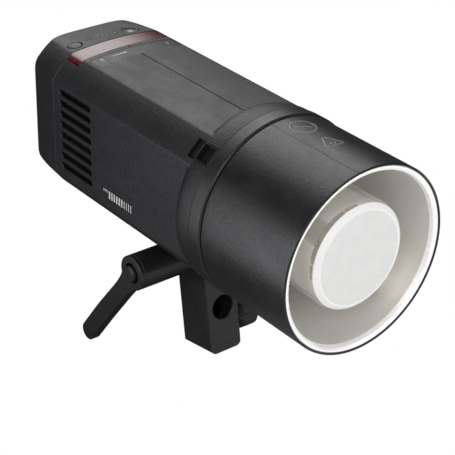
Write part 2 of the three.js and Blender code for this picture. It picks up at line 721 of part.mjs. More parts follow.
function addTiltClamp(bracket) {
  place(bracket, "friction_disc_left", "rubber", washer(BOLT_RADIUS + 0.4, 11.4, -5.1, -4.3));
  place(bracket, "friction_disc_right", "rubber", washer(BOLT_RADIUS + 0.4, 11.4, 4.3, 5.1));
  const bolt = join(rodX(BOLT_RADIUS, -45, 11, 0, 0), rodX(6.8, 10.3, 12.6, 0, 0, 6));
  place(bracket, "clamp_bolt", "steel", bolt);
  const bush = turnedX([
    [BOLT_RADIUS + 0.3, -13.1],
    [9.6, -13.1],
    [9.6, -14.8],
    [7.6, -15.2],
    [7.6, -18.6],
    [BOLT_RADIUS + 0.3, -18.6],
    [BOLT_RADIUS + 0.3, -13.1],
  ], 0, 0);
  place(bracket, "thrust_bush", "brass", bush);
}

// Ratchet clamping lever: threaded insert, its push button and the cranked handle.
function addLever(bracket) {
  const lever = new THREE.Group();
  const insert = cut(rodX(6.6, -49, HUB_INNER - 0.2, 0, 0, 16), rodX(BOLT_RADIUS + 0.3, -45.6, -10, 0, 0));
  place(lever, "lever_insert", "steel", insert);
  const button = turnedX([
    [0, -60.8],
    [5, -60.8],
    [5.6, -60.2],
    [5.6, -57],
    [3, -57],
    [3, -49.2],
    [0, -49.2],
  ], 0, 0, 20);
  place(lever, "lever_button", "paint", button);
  place(lever, "lever_handle", "paint", leverHandle());
  bracket.add(lever);
}

// The arm starts at the hub's outer end and runs back and down to a rounded tip.
function leverHandle() {
  const arm = new THREE.Shape();
  arm.moveTo(0, -11.4);
  arm.quadraticCurveTo(9, -7.6, 27, -7.1);
  arm.lineTo(60, -6.5);
  arm.lineTo(ARM_TIP, -6.5);
  arm.absarc(ARM_TIP, 0.1, 6.6, -Math.PI / 2, Math.PI / 2, false);
  arm.lineTo(60, 6.7);
  arm.quadraticCurveTo(26, 4.9, 10, 7.2);
  arm.lineTo(0, 11.2);
  const plate = prismX(arm, HUB_OUTER, HUB_OUTER + 7.1, 5).rotate([ARM_ANGLE, 0, 0]);
  const hub = turnedX([
    [0, HUB_OUTER],
    [HUB_RADIUS - 0.6, HUB_OUTER],
    [HUB_RADIUS, HUB_OUTER + 0.6],
    [HUB_RADIUS, HUB_INNER - 0.8],
    [HUB_RADIUS - 0.8, HUB_INNER],
    [0, HUB_INNER],
  ], 0, 0, 32);
  return cut(
    join(hub, plate),
    rodX(6.95, HUB_OUTER - 5, HUB_OUTER + 8, 0, 0, 24),
    rodX(6.95, -49.2, 0, 0, 0, 16),
    rodX(3.4, -60, -40, 0, 0, 16),
  );
}

// Socket lock: knob and screw that drive a shoe into the stand socket.
function addSocketLock(bracket) {
  place(bracket, "lock_shoe", "brass", rodX(4.6, 8.4, 10.4, SOCKET_Y, LOCK_Z));
  const screw = join(rodX(2.7, 10.7, 26, SOCKET_Y, LOCK_Z, 16), rodX(5.2, 15.8, 17.6, SOCKET_Y, LOCK_Z, 16));
  place(bracket, "lock_screw", "chrome", screw);
  const grip = turnedX([
    [3, 17.9],
    [8.5, 17.9],
    [11.4, 20.4],
    [12, 23],
    [12, 30],
    [10.6, 33],
    [0, 34],
    [0, 26.4],
    [3, 26.4],
    [3, 17.9],
  ], 0, 0);
  const flutes = [];
  for (let i = 0; i < 6; i += 1) {
    const angle = (i * Math.PI) / 3;
    flutes.push(rodX(2.6, 10, 40, 13.6 * Math.cos(angle), 13.6 * Math.sin(angle), 8));
  }
  place(bracket, "lock_knob", "rubber", cut(grip, ...flutes).translate([0, SOCKET_Y, LOCK_Z]));
}

const head = new THREE.Group();
head.position.set(0, -PIVOT_Y, -PIVOT_Z);
addHousings(head);
addFrontRing(head);
addReleaseSlider(head);
addReflector(head);
addLampParts(head);
addRearCover(head);
addTopControls(head);
addTopWindows(head);
addControlPanel(head);
addPorts(head);
addElectronics(head);
addBattery(head);
addFoot(head);

const bracket = new THREE.Group();
bracket.rotation.x = BRACKET_LEAN;
addBracket(bracket);
addTiltClamp(bracket);
addLever(bracket);
addSocketLock(bracket);

// Moves the point on the bracket's bottom face to the origin.
const seat = new THREE.Vector3(0, SEAT_Y, BRACKET_BOTTOM).applyEuler(bracket.rotation);
head.position.sub(seat);
bracket.position.sub(seat);

const monolight = new THREE.Group();
monolight.add(head, bracket);

export default monolight;
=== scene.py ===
"""Looks of a battery monolight strobe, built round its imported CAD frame.

Shapes are made in millimetres in two local frames and then placed in the row frame:
head frame: x right, y back from the reflector's front rim, z up from the optical axis;
bracket frame: the origin is the tilt axis, y and z lean with the bracket.
"""

import json
import math

import bmesh
import bpy
from mathutils import Euler, Matrix, Vector


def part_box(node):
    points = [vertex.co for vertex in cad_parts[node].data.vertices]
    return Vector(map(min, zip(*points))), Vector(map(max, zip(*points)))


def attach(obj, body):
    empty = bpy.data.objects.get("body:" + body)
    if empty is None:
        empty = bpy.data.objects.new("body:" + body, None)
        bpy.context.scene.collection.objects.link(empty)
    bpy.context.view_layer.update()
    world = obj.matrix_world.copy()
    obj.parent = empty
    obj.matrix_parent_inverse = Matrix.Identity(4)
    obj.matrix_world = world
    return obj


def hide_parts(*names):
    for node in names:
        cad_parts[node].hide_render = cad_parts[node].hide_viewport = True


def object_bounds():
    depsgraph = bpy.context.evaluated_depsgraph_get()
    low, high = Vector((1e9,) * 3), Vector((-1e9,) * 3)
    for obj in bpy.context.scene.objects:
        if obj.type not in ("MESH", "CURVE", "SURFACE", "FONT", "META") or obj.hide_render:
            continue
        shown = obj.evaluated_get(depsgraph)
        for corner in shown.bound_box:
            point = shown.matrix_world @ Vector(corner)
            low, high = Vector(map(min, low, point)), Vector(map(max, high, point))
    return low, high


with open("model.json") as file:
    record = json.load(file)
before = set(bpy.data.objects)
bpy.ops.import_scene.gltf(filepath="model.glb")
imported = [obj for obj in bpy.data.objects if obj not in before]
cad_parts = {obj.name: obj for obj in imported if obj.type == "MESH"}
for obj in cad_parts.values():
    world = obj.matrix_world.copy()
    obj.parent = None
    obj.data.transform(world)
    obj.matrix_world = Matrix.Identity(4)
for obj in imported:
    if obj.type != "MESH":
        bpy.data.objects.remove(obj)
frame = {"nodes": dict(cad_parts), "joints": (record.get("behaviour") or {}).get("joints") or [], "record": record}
cad_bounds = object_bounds()

MM = 0.001
RAD = math.radians
JOINTS = {joint["name"]: joint for joint in frame["joints"]}
MOUNTS = {mount["name"]: mount for mount in frame["record"]["mounts"]}


# ---------------------------------------------------------------- local frames and measured sizes


def head_frame():
    ring_lo, ring_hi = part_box("front_ring")
    tube_lo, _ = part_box("reflector_tube")
    centre = (ring_lo + ring_hi) / 2
    return Matrix.Translation((centre.x, tube_lo.y, centre.z)) @ Matrix.Scale(MM, 4)


def bracket_frame():
    pivot = Vector(JOINTS["head_tilt"]["pos_m"])
    lean = math.asin(MOUNTS["stand_seat"]["axis"][1])
    return Matrix.Translation(pivot) @ Matrix.Rotation(lean, 4, "X") @ Matrix.Scale(MM, 4)


HEAD = head_frame()
BRACKET = bracket_frame()


def local_points(node, matrix):
    inverse = matrix.inverted()
    return [inverse @ vertex.co for vertex in frame["nodes"][node].data.vertices]


def size_of(node, matrix=HEAD):
    """Lowest and highest corner of a CAD node in a local frame, in millimetres."""
    points = local_points(node, matrix)
    low = Vector([min(p[k] for p in points) for k in range(3)])
    high = Vector([max(p[k] for p in points) for k in range(3)])
    return low, high


def centre_of(node, matrix=HEAD):
    low, high = size_of(node, matrix)
    return (low + high) / 2


def joint_along(name, axis):
    """A joint's place along one axis of the head frame, in millimetres."""
    return JOINTS[name]["pos_m"][axis] / MM - HEAD.translation[axis] / MM


def reach_of(node):
    """Largest distance of a CAD node from the optical axis, in millimetres."""
    return max(math.hypot(p.x, p.z) for p in local_points(node, HEAD))


WALL = 2.4
FLAT = size_of("battery_pack")[1].x + 0.1
CORNER_R = reach_of("status_window")
RING_R = reach_of("front_ring")
TUBE_R = reach_of("reflector_tube")
CROWN = 2.2
FLAT_HALF = math.sqrt(CORNER_R**2 - FLAT**2)
RING_Y0, RING_Y1 = size_of("front_ring")[0].y, size_of("front_ring")[1].y
TUBE_Y1 = size_of("reflector_tube")[1].y
CASE_Y0, CASE_Y1 = size_of("housing_left")[0].y, size_of("housing_left")[1].y
COVER_Y0, COVER_Y1 = size_of("rear_cover")[0].y, size_of("rear_cover")[1].y
SHOULDER_Y1 = 110.3


# ---------------------------------------------------------------- outlines

ACROSS = {"X": (1, 2), "Y": (0, 2), "Z": (0, 1)}


def filleted(points, steps=5, closed=True):
    """Rounds each corner given as (a, b, radius); corners given as (a, b) stay sharp."""
    result = []
    count = len(points)
    for i, point in enumerate(points):
        here = Vector(point[:2])
        radius = point[2] if len(point) > 2 else 0
        if radius <= 0 or (not closed and i in (0, count - 1)):
            result.append(tuple(here))
            continue
        before = Vector(points[i - 1][:2]) - here
        after = Vector(points[(i + 1) % count][:2]) - here
        half = before.angle(after) / 2
        reach = min(radius / math.tan(half), 0.49 * before.length, 0.49 * after.length)
        radius = reach * math.tan(half)
        middle = (before.normalized() + after.normalized()).normalized()
        centre = here + middle * (radius / math.sin(half))
        start = here + before.normalized() * reach - centre
        end = here + after.normalized() * reach - centre
        sweep = start.angle_signed(end)
        for k in range(steps + 1):
            turned = start.copy()
            turned.rotate(Matrix.Rotation(-sweep * k / steps, 2))
            result.append(tuple(centre + turned))
    return result


def rounded_rect(a0, a1, b0, b1, radius, steps=6):
    corners = [(a0, b0, radius), (a1, b0, radius), (a1, b1, radius), (a0, b1, radius)]
    return filleted(corners, steps)


def seen_along(plane, box, margin, radius, steps=6):
    """A box's rounded outline seen along a plane's normal, grown by a margin."""
    (low, high), (a, b) = box, ACROSS[plane]
    return rounded_rect(low[a] - margin, high[a] + margin, low[b] - margin, high[b] + margin, radius, steps)


def circle(radius, centre=(0, 0), count=48, start=0.0):
    angles = [start + 2 * math.pi * i / count for i in range(count)]
    return [(centre[0] + radius * math.cos(a), centre[1] + radius * math.sin(a)) for a in angles]


def sector(r0, r1, middle, half, steps=12):
    """A slice of a ring seen along Y. Angles are from the top, positive to the right, in degrees."""
    angles = [RAD(middle - half + 2 * half * i / steps) for i in range(steps + 1)]
    outer = [(r1 * math.sin(a), r1 * math.cos(a)) for a in angles]
    inner = [(r0 * math.sin(a), r0 * math.cos(a)) for a in reversed(angles)]
    return outer + inner


def signed_area(outline):
    pairs = zip(outline, outline[1:] + outline[:1])
    return sum(a[0] * b[1] - b[0] * a[1] for a, b in pairs) / 2


def grown(outline, distance):
    """The outline moved outwards by a distance; a negative one moves it inwards."""
    way = 1 if signed_area(outline) > 0 else -1
    result = []
    for i, point in enumerate(outline):
        here = Vector(point)
        before = (here - Vector(outline[i - 1])).normalized()
        after = (Vector(outline[(i + 1) % len(outline)]) - here).normalized()
        normal = Vector((before.y, -before.x)) * way
        middle = normal + Vector((after.y, -after.x)) * way
        if middle.length < 1e-6:
            result.append(tuple(here + normal * distance))
            continue
        middle.normalize()
        result.append(tuple(here + middle * (distance / max(0.35, middle.dot(normal)))))
    return result


# ---------------------------------------------------------------- solids, as bmeshes in millimetres

PLANES = {
    "X": lambda a, b, h: (h, a, b),
    "Y": lambda a, b, h: (a, h, b),
    "Z": lambda a, b, h: (a, b, h),
}


def loft(rings, loop=False, capped=True):
    """A solid through rings of points. A ring of one point is a tip, and a loop joins its ends."""
    shape = bmesh.new()
    rows = [[shape.verts.new(point) for point in ring] for ring in rings]
    pairs = list(zip(rows, rows[1:]))
    if loop:
        pairs.append((rows[-1], rows[0]))
    for low, high in pairs:
        count = max(len(low), len(high))
        for j in range(count):
            k = (j + 1) % count
            corners = [low[j % len(low)], low[k % len(low)], high[k % len(high)], high[j % len(high)]]
            shape.faces.new(list(dict.fromkeys(corners)))
    for row in (rows[0], rows[-1]):
        if capped and not loop and len(row) > 2:
            shape.faces.new(row)
    bmesh.ops.recalc_face_normals(shape, faces=shape.faces)
    return shape


def stacked(outline, levels, plane):
    """A solid whose outline is grown by a given distance at each height."""
    lift = PLANES[plane]
    return loft([[lift(a, b, h) for a, b in grown(outline, offset)] for h, offset in levels])


def prism(outline, h0, h1, plane, edge=0.0, steps=2):
    """An outline drawn out between two heights, with rounded rims of the given radius."""
    if edge <= 0:
        return stacked(outline, [(h0, 0), (h1, 0)], plane)
    turns = [math.pi / 2 * i / steps for i in range(steps + 1)]
    low = [(h0 + edge * (1 - math.sin(t)), -edge * (1 - math.cos(t))) for t in reversed(turns)]
    high = [(h1 - edge * (1 - math.sin(t)), -edge * (1 - math.cos(t))) for t in turns]
    return stacked(outline, low + high, plane)


def turned(profile, plane, centre=(0, 0), count=64, loop=False):
    """A solid turned about an axis along a plane's normal, from (radius, height) points."""
    lift = PLANES[plane]
    rings = []
    for radius, height in profile:
        if radius < 1e-6:
            rings.append([lift(centre[0], centre[1], height)])
        else:
            rings.append([lift(a, b, height) for a, b in circle(radius, centre, count)])
    return loft(rings, loop)


def lathe(profile, steps, plane, centre=(0, 0), count=64, loop=False):
    """A turned solid with rounded profile corners. A looped profile makes a ring, an open one a solid."""
    return turned(filleted(profile, steps, loop), plane, centre, count, loop)


def rod(radius, h0, h1, plane, centre=(0, 0), edge=0.0, count=48):
    profile = [(0, h0), (radius, h0, edge), (radius, h1, edge), (0, h1)]
    return lathe(profile, 3, plane, centre, count)


def block(low, high, edge=0.0, plane="Z"):
    a, b = ACROSS[plane]
    h = 3 - a - b
    outline = [(low[a], low[b]), (high[a], low[b]), (high[a], high[b]), (low[a], high[b])]
    if edge > 0:
        outline = filleted([(*corner, edge) for corner in outline], 2)
    return prism(outline, low[h], high[h], plane, edge)


def together(*shapes):
    """Several solids that don't touch, as one shape."""
    result = bmesh.new()
    for shape in shapes:
        mesh = bpy.data.meshes.new("part")
        shape.to_mesh(mesh)
        shape.free()
        result.from_mesh(mesh)
        bpy.data.meshes.remove(mesh)
    return result


def moved(shape, matrix):
    bmesh.ops.transform(shape, matrix=matrix, verts=shape.verts)
    return shape


def shifted(shape, x=0.0, y=0.0, z=0.0):
    return moved(shape, Matrix.Translation((x, y, z)))


def linked(name, data):
    made = bpy.data.objects.new(name, data)
    bpy.context.scene.collection.objects.link(made)
    return made


def ease_rims(made, width, angle):
    rim = made.modifiers.new("rims", "BEVEL")
    rim.width = width * MM
    rim.segments = 2
    rim.limit_method = "ANGLE"
    rim.angle_limit = RAD(angle)


def helper_object(shape):
    mesh = bpy.data.meshes.new("helper")
    shape.to_mesh(mesh)
    shape.free()
    return linked("helper", mesh)


def combined(body, tool, operation):
    host, guest = helper_object(body), helper_object(tool)
    modifier = host.modifiers.new("boolean", "BOOLEAN")
    modifier.operation = operation
    modifier.solver = "EXACT"
    modifier.object = guest
    bpy.context.view_layer.update()
    evaluated = host.evaluated_get(bpy.context.evaluated_depsgraph_get())
    result = bmesh.new()
    result.from_mesh(evaluated.to_mesh())
    for helper in (host, guest):
        mesh = helper.data
        bpy.data.objects.remove(helper)
        bpy.data.meshes.remove(mesh)
    bmesh.ops.remove_doubles(result, verts=result.verts, dist=1e-4)
    bmesh.ops.dissolve_degenerate(result, edges=result.edges, dist=1e-4)
    return result


def cut(body, *tools):
    for tool in tools:
        body = combined(body, tool, "DIFFERENCE")
    return body


def fused(body, *others):
    for other in others:
        body = combined(body, other, "UNION")
    return body


def common(body, tool):
    return combined(body, tool, "INTERSECT")


def piece(name, body, shape, materials, node=None, matrix=HEAD, soft=0.0, sharp=38, zone=None):
    """A finished object: placed, shaded, tied to a CAD body and standing for a CAD node, if it has one.

    zone(point) is the number of the material at a face's middle.
    """
    mesh = bpy.data.meshes.new(name)
    for material in materials if isinstance(materials, list) else [materials]:
        mesh.materials.append(material)
    for face in shape.faces:
        face.material_index = zone(face.calc_center_median()) if zone else 0
    shape.to_mesh(mesh)
    shape.free()
    mesh.transform(matrix)
    mesh.shade_smooth()
    mesh.set_sharp_from_angle(angle=RAD(sharp))
    made = linked(name, mesh)
    if soft > 0:
        ease_rims(made, soft, sharp)
    even = made.modifiers.new("even", "WEIGHTED_NORMAL")
    even.keep_sharp = soft <= 0
    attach(made, body)
    if node:
        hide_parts(node)


# ---------------------------------------------------------------- materials


class Tree:
    """Short calls for building a node tree."""

    def __init__(self, tree):
        self.tree = tree

    def add(self, kind, **inputs):
        node = self.tree.nodes.new(kind)
        for key, value in inputs.items():
            self.feed(node.inputs[key.replace("_", " ")], value)
        return node

    def feed(self, socket, value):
        if isinstance(value, bpy.types.NodeSocket):
            self.tree.links.new(value, socket)
        else:
            socket.default_value = value

    def ramp(self, value, low, high, out_low=0.0, out_high=1.0):
        node = self.add("ShaderNodeMapRange", Value=value, From_Min=low, From_Max=high, To_Min=out_low,
                        To_Max=out_high)
        return node.outputs["Result"]

    def math(self, operation, a, b=0.0, limited=True):
        node = self.add("ShaderNodeMath")
        node.operation = operation
        node.use_clamp = limited
        self.feed(node.inputs[0], a)
        self.feed(node.inputs[1], b)
        return node.outputs["Value"]

    def blend(self, factor, first, second):
        """A mix of two shaders."""
        node = self.add("ShaderNodeMixShader", Fac=factor)
        self.feed(node.inputs[1], first)
        self.feed(node.inputs[2], second)
        return node.outputs["Shader"]

    def camera_ray(self):
        return self.add("ShaderNodeLightPath").outputs["Is Camera Ray"]


class Nodes(Tree):
    """A new material and short calls for its usual nodes."""

    def __init__(self, name):
        self.material = bpy.data.materials.new(name)
        self.material.use_nodes = True
        super().__init__(self.material.node_tree)
        self.shader = self.tree.nodes["Principled BSDF"]
        self.place = self.add("ShaderNodeTexCoord").outputs["Object"]

    def set(self, **inputs):
        for key, value in inputs.items():
            self.feed(self.shader.inputs[key.replace("_", " ")], value)

    def finish(self, shader):
        self.feed(self.tree.nodes["Material Output"].inputs["Surface"], shader)

    def noise(self, size_mm, detail=2.0, roughness=0.5, vector=None):
        node = self.add("ShaderNodeTexNoise", Vector=vector or self.place, Scale=1 / (size_mm * MM),
                        Detail=detail, Roughness=roughness)
        return node.outputs["Fac"]

    def average(self, a, b):
        return self.math("ADD", self.math("MULTIPLY", a, 0.5), self.math("MULTIPLY", b, 0.5))

    def mix(self, factor, a, b):
        node = self.add("ShaderNodeMix")
        node.data_type = "RGBA"
        self.feed(node.inputs["Factor"], factor)
        self.feed(node.inputs["A"], a)
        self.feed(node.inputs["B"], b)
        return node.outputs["Result"]

    def edges(self, radius_mm):
        """1 on outer edges and 0 on flat ground."""
        bevel = self.add("ShaderNodeBevel", Radius=radius_mm * MM)
        bevel.samples = 4
        plain = self.add("ShaderNodeNewGeometry").outputs["Normal"]
        dot = self.add("ShaderNodeVectorMath")
        dot.operation = "DOT_PRODUCT"
        self.feed(dot.inputs[0], bevel.outputs["Normal"])
        self.feed(dot.inputs[1], plain)
        return self.ramp(dot.outputs["Value"], 0.985, 0.8)

    def bump(self, height, depth_mm, base=None):
        node = self.add("ShaderNodeBump", Height=height, Strength=1.0, Distance=depth_mm * MM)
        if base is not None:
            self.feed(node.inputs["Normal"], base)
        return node.outputs["Normal"]


def rgb(r, g, b):
    return (r, g, b, 1.0)


def scaled(colour, factor):
    return rgb(*[min(1.0, c * factor) for c in colour[:3]])


def coated(name, colour, rough, grain=0.45, depth=0.03, wear=0.25, spread=0.16, shine=0.5):
    """Moulded plastic or powder coat: fine grain, uneven gloss, faint handling marks, paler edges."""
    n = Nodes(name)
    fine = n.noise(grain, 3.0, 0.6)
    coarse = n.noise(grain * 3.1, 2.0, 0.5)
    cloud = n.noise(22.0, 3.0, 0.55)
    stretched = n.add("ShaderNodeMapping", Vector=n.place, Scale=(1.0, 0.35, 1.0))
    smear = n.noise(7.0, 4.0, 0.65, stretched.outputs["Vector"])
    tone = n.mix(n.ramp(cloud, 0.3, 0.7), scaled(colour, 1 - spread), scaled(colour, 1 + spread))
    speck = n.mix(n.ramp(fine, 0.42, 0.62), scaled(colour, 0.82), scaled(colour, 1.22))
    base = n.mix(0.45, tone, speck)
    edge = n.math("MULTIPLY", n.edges(0.7), n.ramp(n.noise(2.2, 3.0), 0.35, 0.62))
    base = n.mix(n.math("MULTIPLY", edge, wear), base, scaled(colour, 3.2))
    n.set(Base_Color=base)
    glossy, dull = max(0.05, rough - 0.07), min(1.0, rough + 0.07)
    n.set(Roughness=n.ramp(n.average(cloud, smear), 0.3, 0.7, glossy, dull))
    n.set(Specular_IOR_Level=n.ramp(fine, 0.35, 0.65, shine * 0.76, shine * 1.24))
    n.set(Normal=n.bump(fine, depth, n.bump(coarse, depth * 1.4)))
    return n.material


def metal(name, colour, rough, grain=0.25, depth=0.006, tarnish=0.3, share=1.0, glow=0.0):
    """Turned, brushed or polished metal with uneven gloss and a little tarnish; glow adds an emission in its own
    colour, which is painted light.
    """
    n = Nodes(name)
    brush = n.noise(grain, 2.0, 0.6)
    cloud = n.noise(9.0, 4.0, 0.6)
    dull = n.math("MULTIPLY", n.ramp(cloud, 0.45, 0.72), tarnish)
    n.set(Base_Color=n.mix(dull, colour, scaled(colour, 0.55)), Metallic=share)
    # painted light: an emission in the metal's own colour, by the glow strength
    n.set(Emission_Color=colour, Emission_Strength=glow)
    n.set(Roughness=n.ramp(n.average(brush, cloud), 0.3, 0.7, rough * 0.75, min(1.0, rough * 1.3)))
    n.set(Normal=n.bump(brush, depth))
    return n.material


def glossy_clear(name, tint, opacity, rough=0.06, ior=1.5):
    """Thin clear wall: see-through, with a tinted body and a clean surface reflection."""
    n = Nodes(name)
    clear = n.add("ShaderNodeBsdfTransparent", Color=tint)
    haze = n.noise(6.0, 3.0, 0.6)
    n.set(Base_Color=tint, Roughness=n.ramp(haze, 0.3, 0.7, rough * 0.6, rough * 1.6), IOR=ior)
    n.set(Normal=n.bump(n.noise(14.0, 2.0), 0.05))
    facing = n.add("ShaderNodeFresnel", IOR=ior).outputs["Fac"]
    share = n.math("ADD", n.math("MULTIPLY", facing, 0.9), opacity)
    n.finish(n.blend(share, clear.outputs["BSDF"], n.shader.outputs["BSDF"]))
    return n.material


def frosted_glass(name, glow):
    """Sand-blasted glass: white, slightly uneven, with a soft sheen; its glow is an even emission, painted light
    standing in for the light it gets from all round.
    """
    n = Nodes(name)
    cloud = n.noise(9.0, 3.0, 0.5)
    fine = n.noise(0.35, 2.0, 0.6)
    colour = n.mix(n.ramp(cloud, 0.35, 0.7), rgb(0.79, 0.79, 0.785), rgb(0.83, 0.828, 0.82))
    n.set(Base_Color=colour, Roughness=n.ramp(fine, 0.3, 0.7, 0.32, 0.5), Normal=n.bump(fine, 0.012))
    n.set(Subsurface_Weight=0.35, Subsurface_Radius=(0.004, 0.004, 0.0038), Coat_Weight=0.15)
    # painted light: the glass glows evenly by the glow strength
    n.set(Emission_Color=rgb(1.0, 0.99, 0.97), Emission_Strength=glow)
    return n.material


CASE_GREY = rgb(0.009, 0.009, 0.0105)
M_CASE = coated("case_plastic_look", CASE_GREY, 0.47, grain=0.9, depth=0.12, wear=0.12, shine=0.47)
M_PANEL = coated("panel_plastic_look", rgb(0.012, 0.012, 0.0135), 0.36, grain=0.3, depth=0.012, shine=0.30)
M_KEYS = coated("key_plastic_look", rgb(0.055, 0.055, 0.058), 0.45, grain=0.35, depth=0.015)
M_RING = coated("ring_paint_look", rgb(0.011, 0.011, 0.012), 0.40, grain=0.6, depth=0.03, wear=0.2)
M_PAINT = coated("bracket_paint_look", rgb(0.011, 0.011, 0.012), 0.42, grain=0.6, depth=0.04, wear=0.3)
M_COAT = coated("tube_coat_look", rgb(0.012, 0.012, 0.013), 0.36, grain=0.7, depth=0.06, wear=0.2, shine=0.42)
M_MARK = coated("tube_mark_look", rgb(0.16, 0.16, 0.165), 0.34, grain=0.3, depth=0.01, wear=0.5)
# Near-black and almost without sheen: painted shade for the sheet behind the cooling slots.
M_VENT_SHADE = coated("vent_shade_sheet_look", rgb(0.003, 0.003, 0.003), 0.8, grain=0.6, depth=0.05, wear=0.0,
                shine=0.08)
M_RUBBER = coated("rubber_look", rgb(0.018, 0.018, 0.018), 0.72, grain=0.5, depth=0.03, wear=0.1)
M_CAN = coated("sleeve_look", rgb(0.020, 0.026, 0.050), 0.3, grain=0.6, depth=0.01, wear=0.1)
M_BOARD = coated("board_look", rgb(0.012, 0.085, 0.030), 0.38, grain=1.2, depth=0.03, spread=0.3)
M_CERAMIC = coated("ceramic_look", rgb(0.74, 0.71, 0.65), 0.5, grain=0.6, depth=0.02, wear=0.0, spread=0.05)
M_GUIDE = coated("light_guide_look", rgb(0.050, 0.052, 0.052), 0.3, grain=0.8, depth=0.01, wear=0.0,
                 spread=0.06)
M_PRINT = coated("print_look", rgb(0.72, 0.72, 0.73), 0.5, grain=0.2, depth=0.004, wear=0.0, spread=0.05)
M_SILVER = metal("reflector_look", rgb(0.92, 0.91, 0.89), 0.38, grain=0.6, depth=0.02, tarnish=0.08,
                 share=0.68)
# The polished lip glows: painted light that brightens it.
M_LIP_PAINTED_GLOW = metal("polished_lip_painted_glow_look", rgb(0.96, 0.96, 0.955), 0.30, grain=2.0, depth=0.001, tarnish=0.02,
              share=0.9, glow=0.32)
M_STEEL = metal("steel_look", rgb(0.52, 0.52, 0.53), 0.34, grain=0.3, depth=0.008)
M_CHROME = metal("chrome_look", rgb(0.80, 0.80, 0.81), 0.10, grain=0.3, depth=0.002, tarnish=0.1)
M_BRASS = metal("brass_look", rgb(0.62, 0.42, 0.17), 0.3, grain=0.3, depth=0.006)
M_QUARTZ = glossy_clear("quartz_look", rgb(0.95, 0.93, 0.89), 0.16)
M_GLASS = glossy_clear("clear_wall_look", rgb(0.97, 0.965, 0.95), 0.13)
# The frosted face glows faintly and its bevel ring glows more: painted light, with a painted highlight on the
# bevel ring.
M_FROST = frosted_glass("frosted_face_look", 0.03)
M_BEVEL_PAINTED_HIGHLIGHT = frosted_glass("frosted_bevel_painted_highlight_look", 0.16)
M_SIDE_PRINT = coated("side_print_look", rgb(0.62, 0.62, 0.62), 0.45, grain=0.3, depth=0.004, wear=0.0)


def red_acrylic():
    """Dark red window with a strong, slightly pink surface reflection."""
    n = Nodes("red_window_look")
    cloud = n.noise(12.0, 3.0)
    n.set(Base_Color=n.mix(cloud, rgb(0.075, 0.004, 0.006), rgb(0.120, 0.008, 0.011)))
    n.set(Roughness=n.ramp(n.noise(4.0, 4.0), 0.3, 0.7, 0.10, 0.2), IOR=1.5)
    sheen = n.add("ShaderNodeBsdfGlossy", Color=rgb(1.0, 0.86, 0.85), Roughness=0.16)
    n.feed(sheen.inputs["Normal"], n.bump(n.noise(10.0, 2.0), 0.02))
    share = n.ramp(n.noise(16.0, 2.0), 0.3, 0.7, 0.02, 0.04)
    n.finish(n.blend(share, n.shader.outputs["BSDF"], sheen.outputs["BSDF"]))
    return n.material


def screen_glass():
    n = Nodes("screen_look")
    smear = n.noise(9.0, 4.0, 0.6)
    n.set(Base_Color=n.mix(smear, rgb(0.006, 0.008, 0.010), rgb(0.012, 0.014, 0.017)))
    n.set(Roughness=n.ramp(smear, 0.35, 0.75, 0.05, 0.16), Coat_Weight=0.6, Coat_Roughness=0.04)
    return n.material


def lit(name, colour, strength):
    n = Nodes(name)
    cloud = n.noise(1.2, 2.0)
    n.set(Base_Color=n.mix(cloud, scaled(colour, 0.8), colour), Roughness=n.ramp(cloud, 0.3, 0.7, 0.3, 0.45))
    n.set(Emission_Color=colour, Emission_Strength=strength)
    return n.material


M_RED = red_acrylic()
M_SCREEN = screen_glass()
M_GLOW = lit("screen_ink_look", rgb(0.55, 0.75, 0.85), 0.5)


# ---------------------------------------------------------------- case


def soft_min(a, b, blend):
    spread = max(0.0, blend - abs(a - b)) / blend
    return min(a, b) - spread * spread * blend / 4


def soft_max(a, b, blend):
    return -soft_min(-a, -b, blend)


def flat_reach(angle):
    """Distance from the axis to the flats at an angle from the +x side, with the crowned top."""
    c, s = math.cos(angle), math.sin(angle)
    reach = FLAT / max(abs(c), 1e-6)
    if s < 0:
        return min(reach, FLAT / max(-s, 1e-6))
    if s > 1e-6:
        bend = CROWN * c * c / FLAT_HALF**2
        top = FLAT + CROWN
        height = top / s if bend < 1e-9 else (math.sqrt(s * s + 4 * bend * top) - s) / (2 * bend)
        reach = min(reach, height)
    return reach


def case_radius(angle, blend=0.7):
    return soft_min(CORNER_R, flat_reach(angle), blend)


# The round shoulder in front of the flats: its radius at a few distances along y.
SHOULDER = [(89.0, 62.1), (94.0, 62.05), (98.5, 61.85), (102.0, 61.35), (104.5, 60.4), (106.6, 58.9),
            (108.2, 56.8), (109.4, 54.0), (110.2, 50.4), (111.0, 44.0)]


def interpolated(table, value):
    if value <= table[0][0]:
        return table[0][1]
    for (a0, b0), (a1, b1) in zip(table, table[1:]):
        if value <= a1:
            return b0 + (b1 - b0) * (value - a0) / (a1 - a0)
    return table[-1][1]


def housing_radius(angle, y):
    return soft_max(case_radius(angle), interpolated(SHOULDER, y), 0.5)


def half_angles():
    """Angles from straight down to straight up on the +x side, closer together near the edges."""
    corner = math.degrees(math.acos(FLAT / CORNER_R))
    angles = []
    value = -90.0
    while value < 90.0:
        angles.append(value)
        near = min(abs(abs(value) - corner), abs(abs(value) - (90 - corner)))
        value += 0.45 if near < 2.2 else 1.6
    angles.append(90.0)
    return [RAD(a) for a in angles if abs(abs(a) - 90) > 1.2]


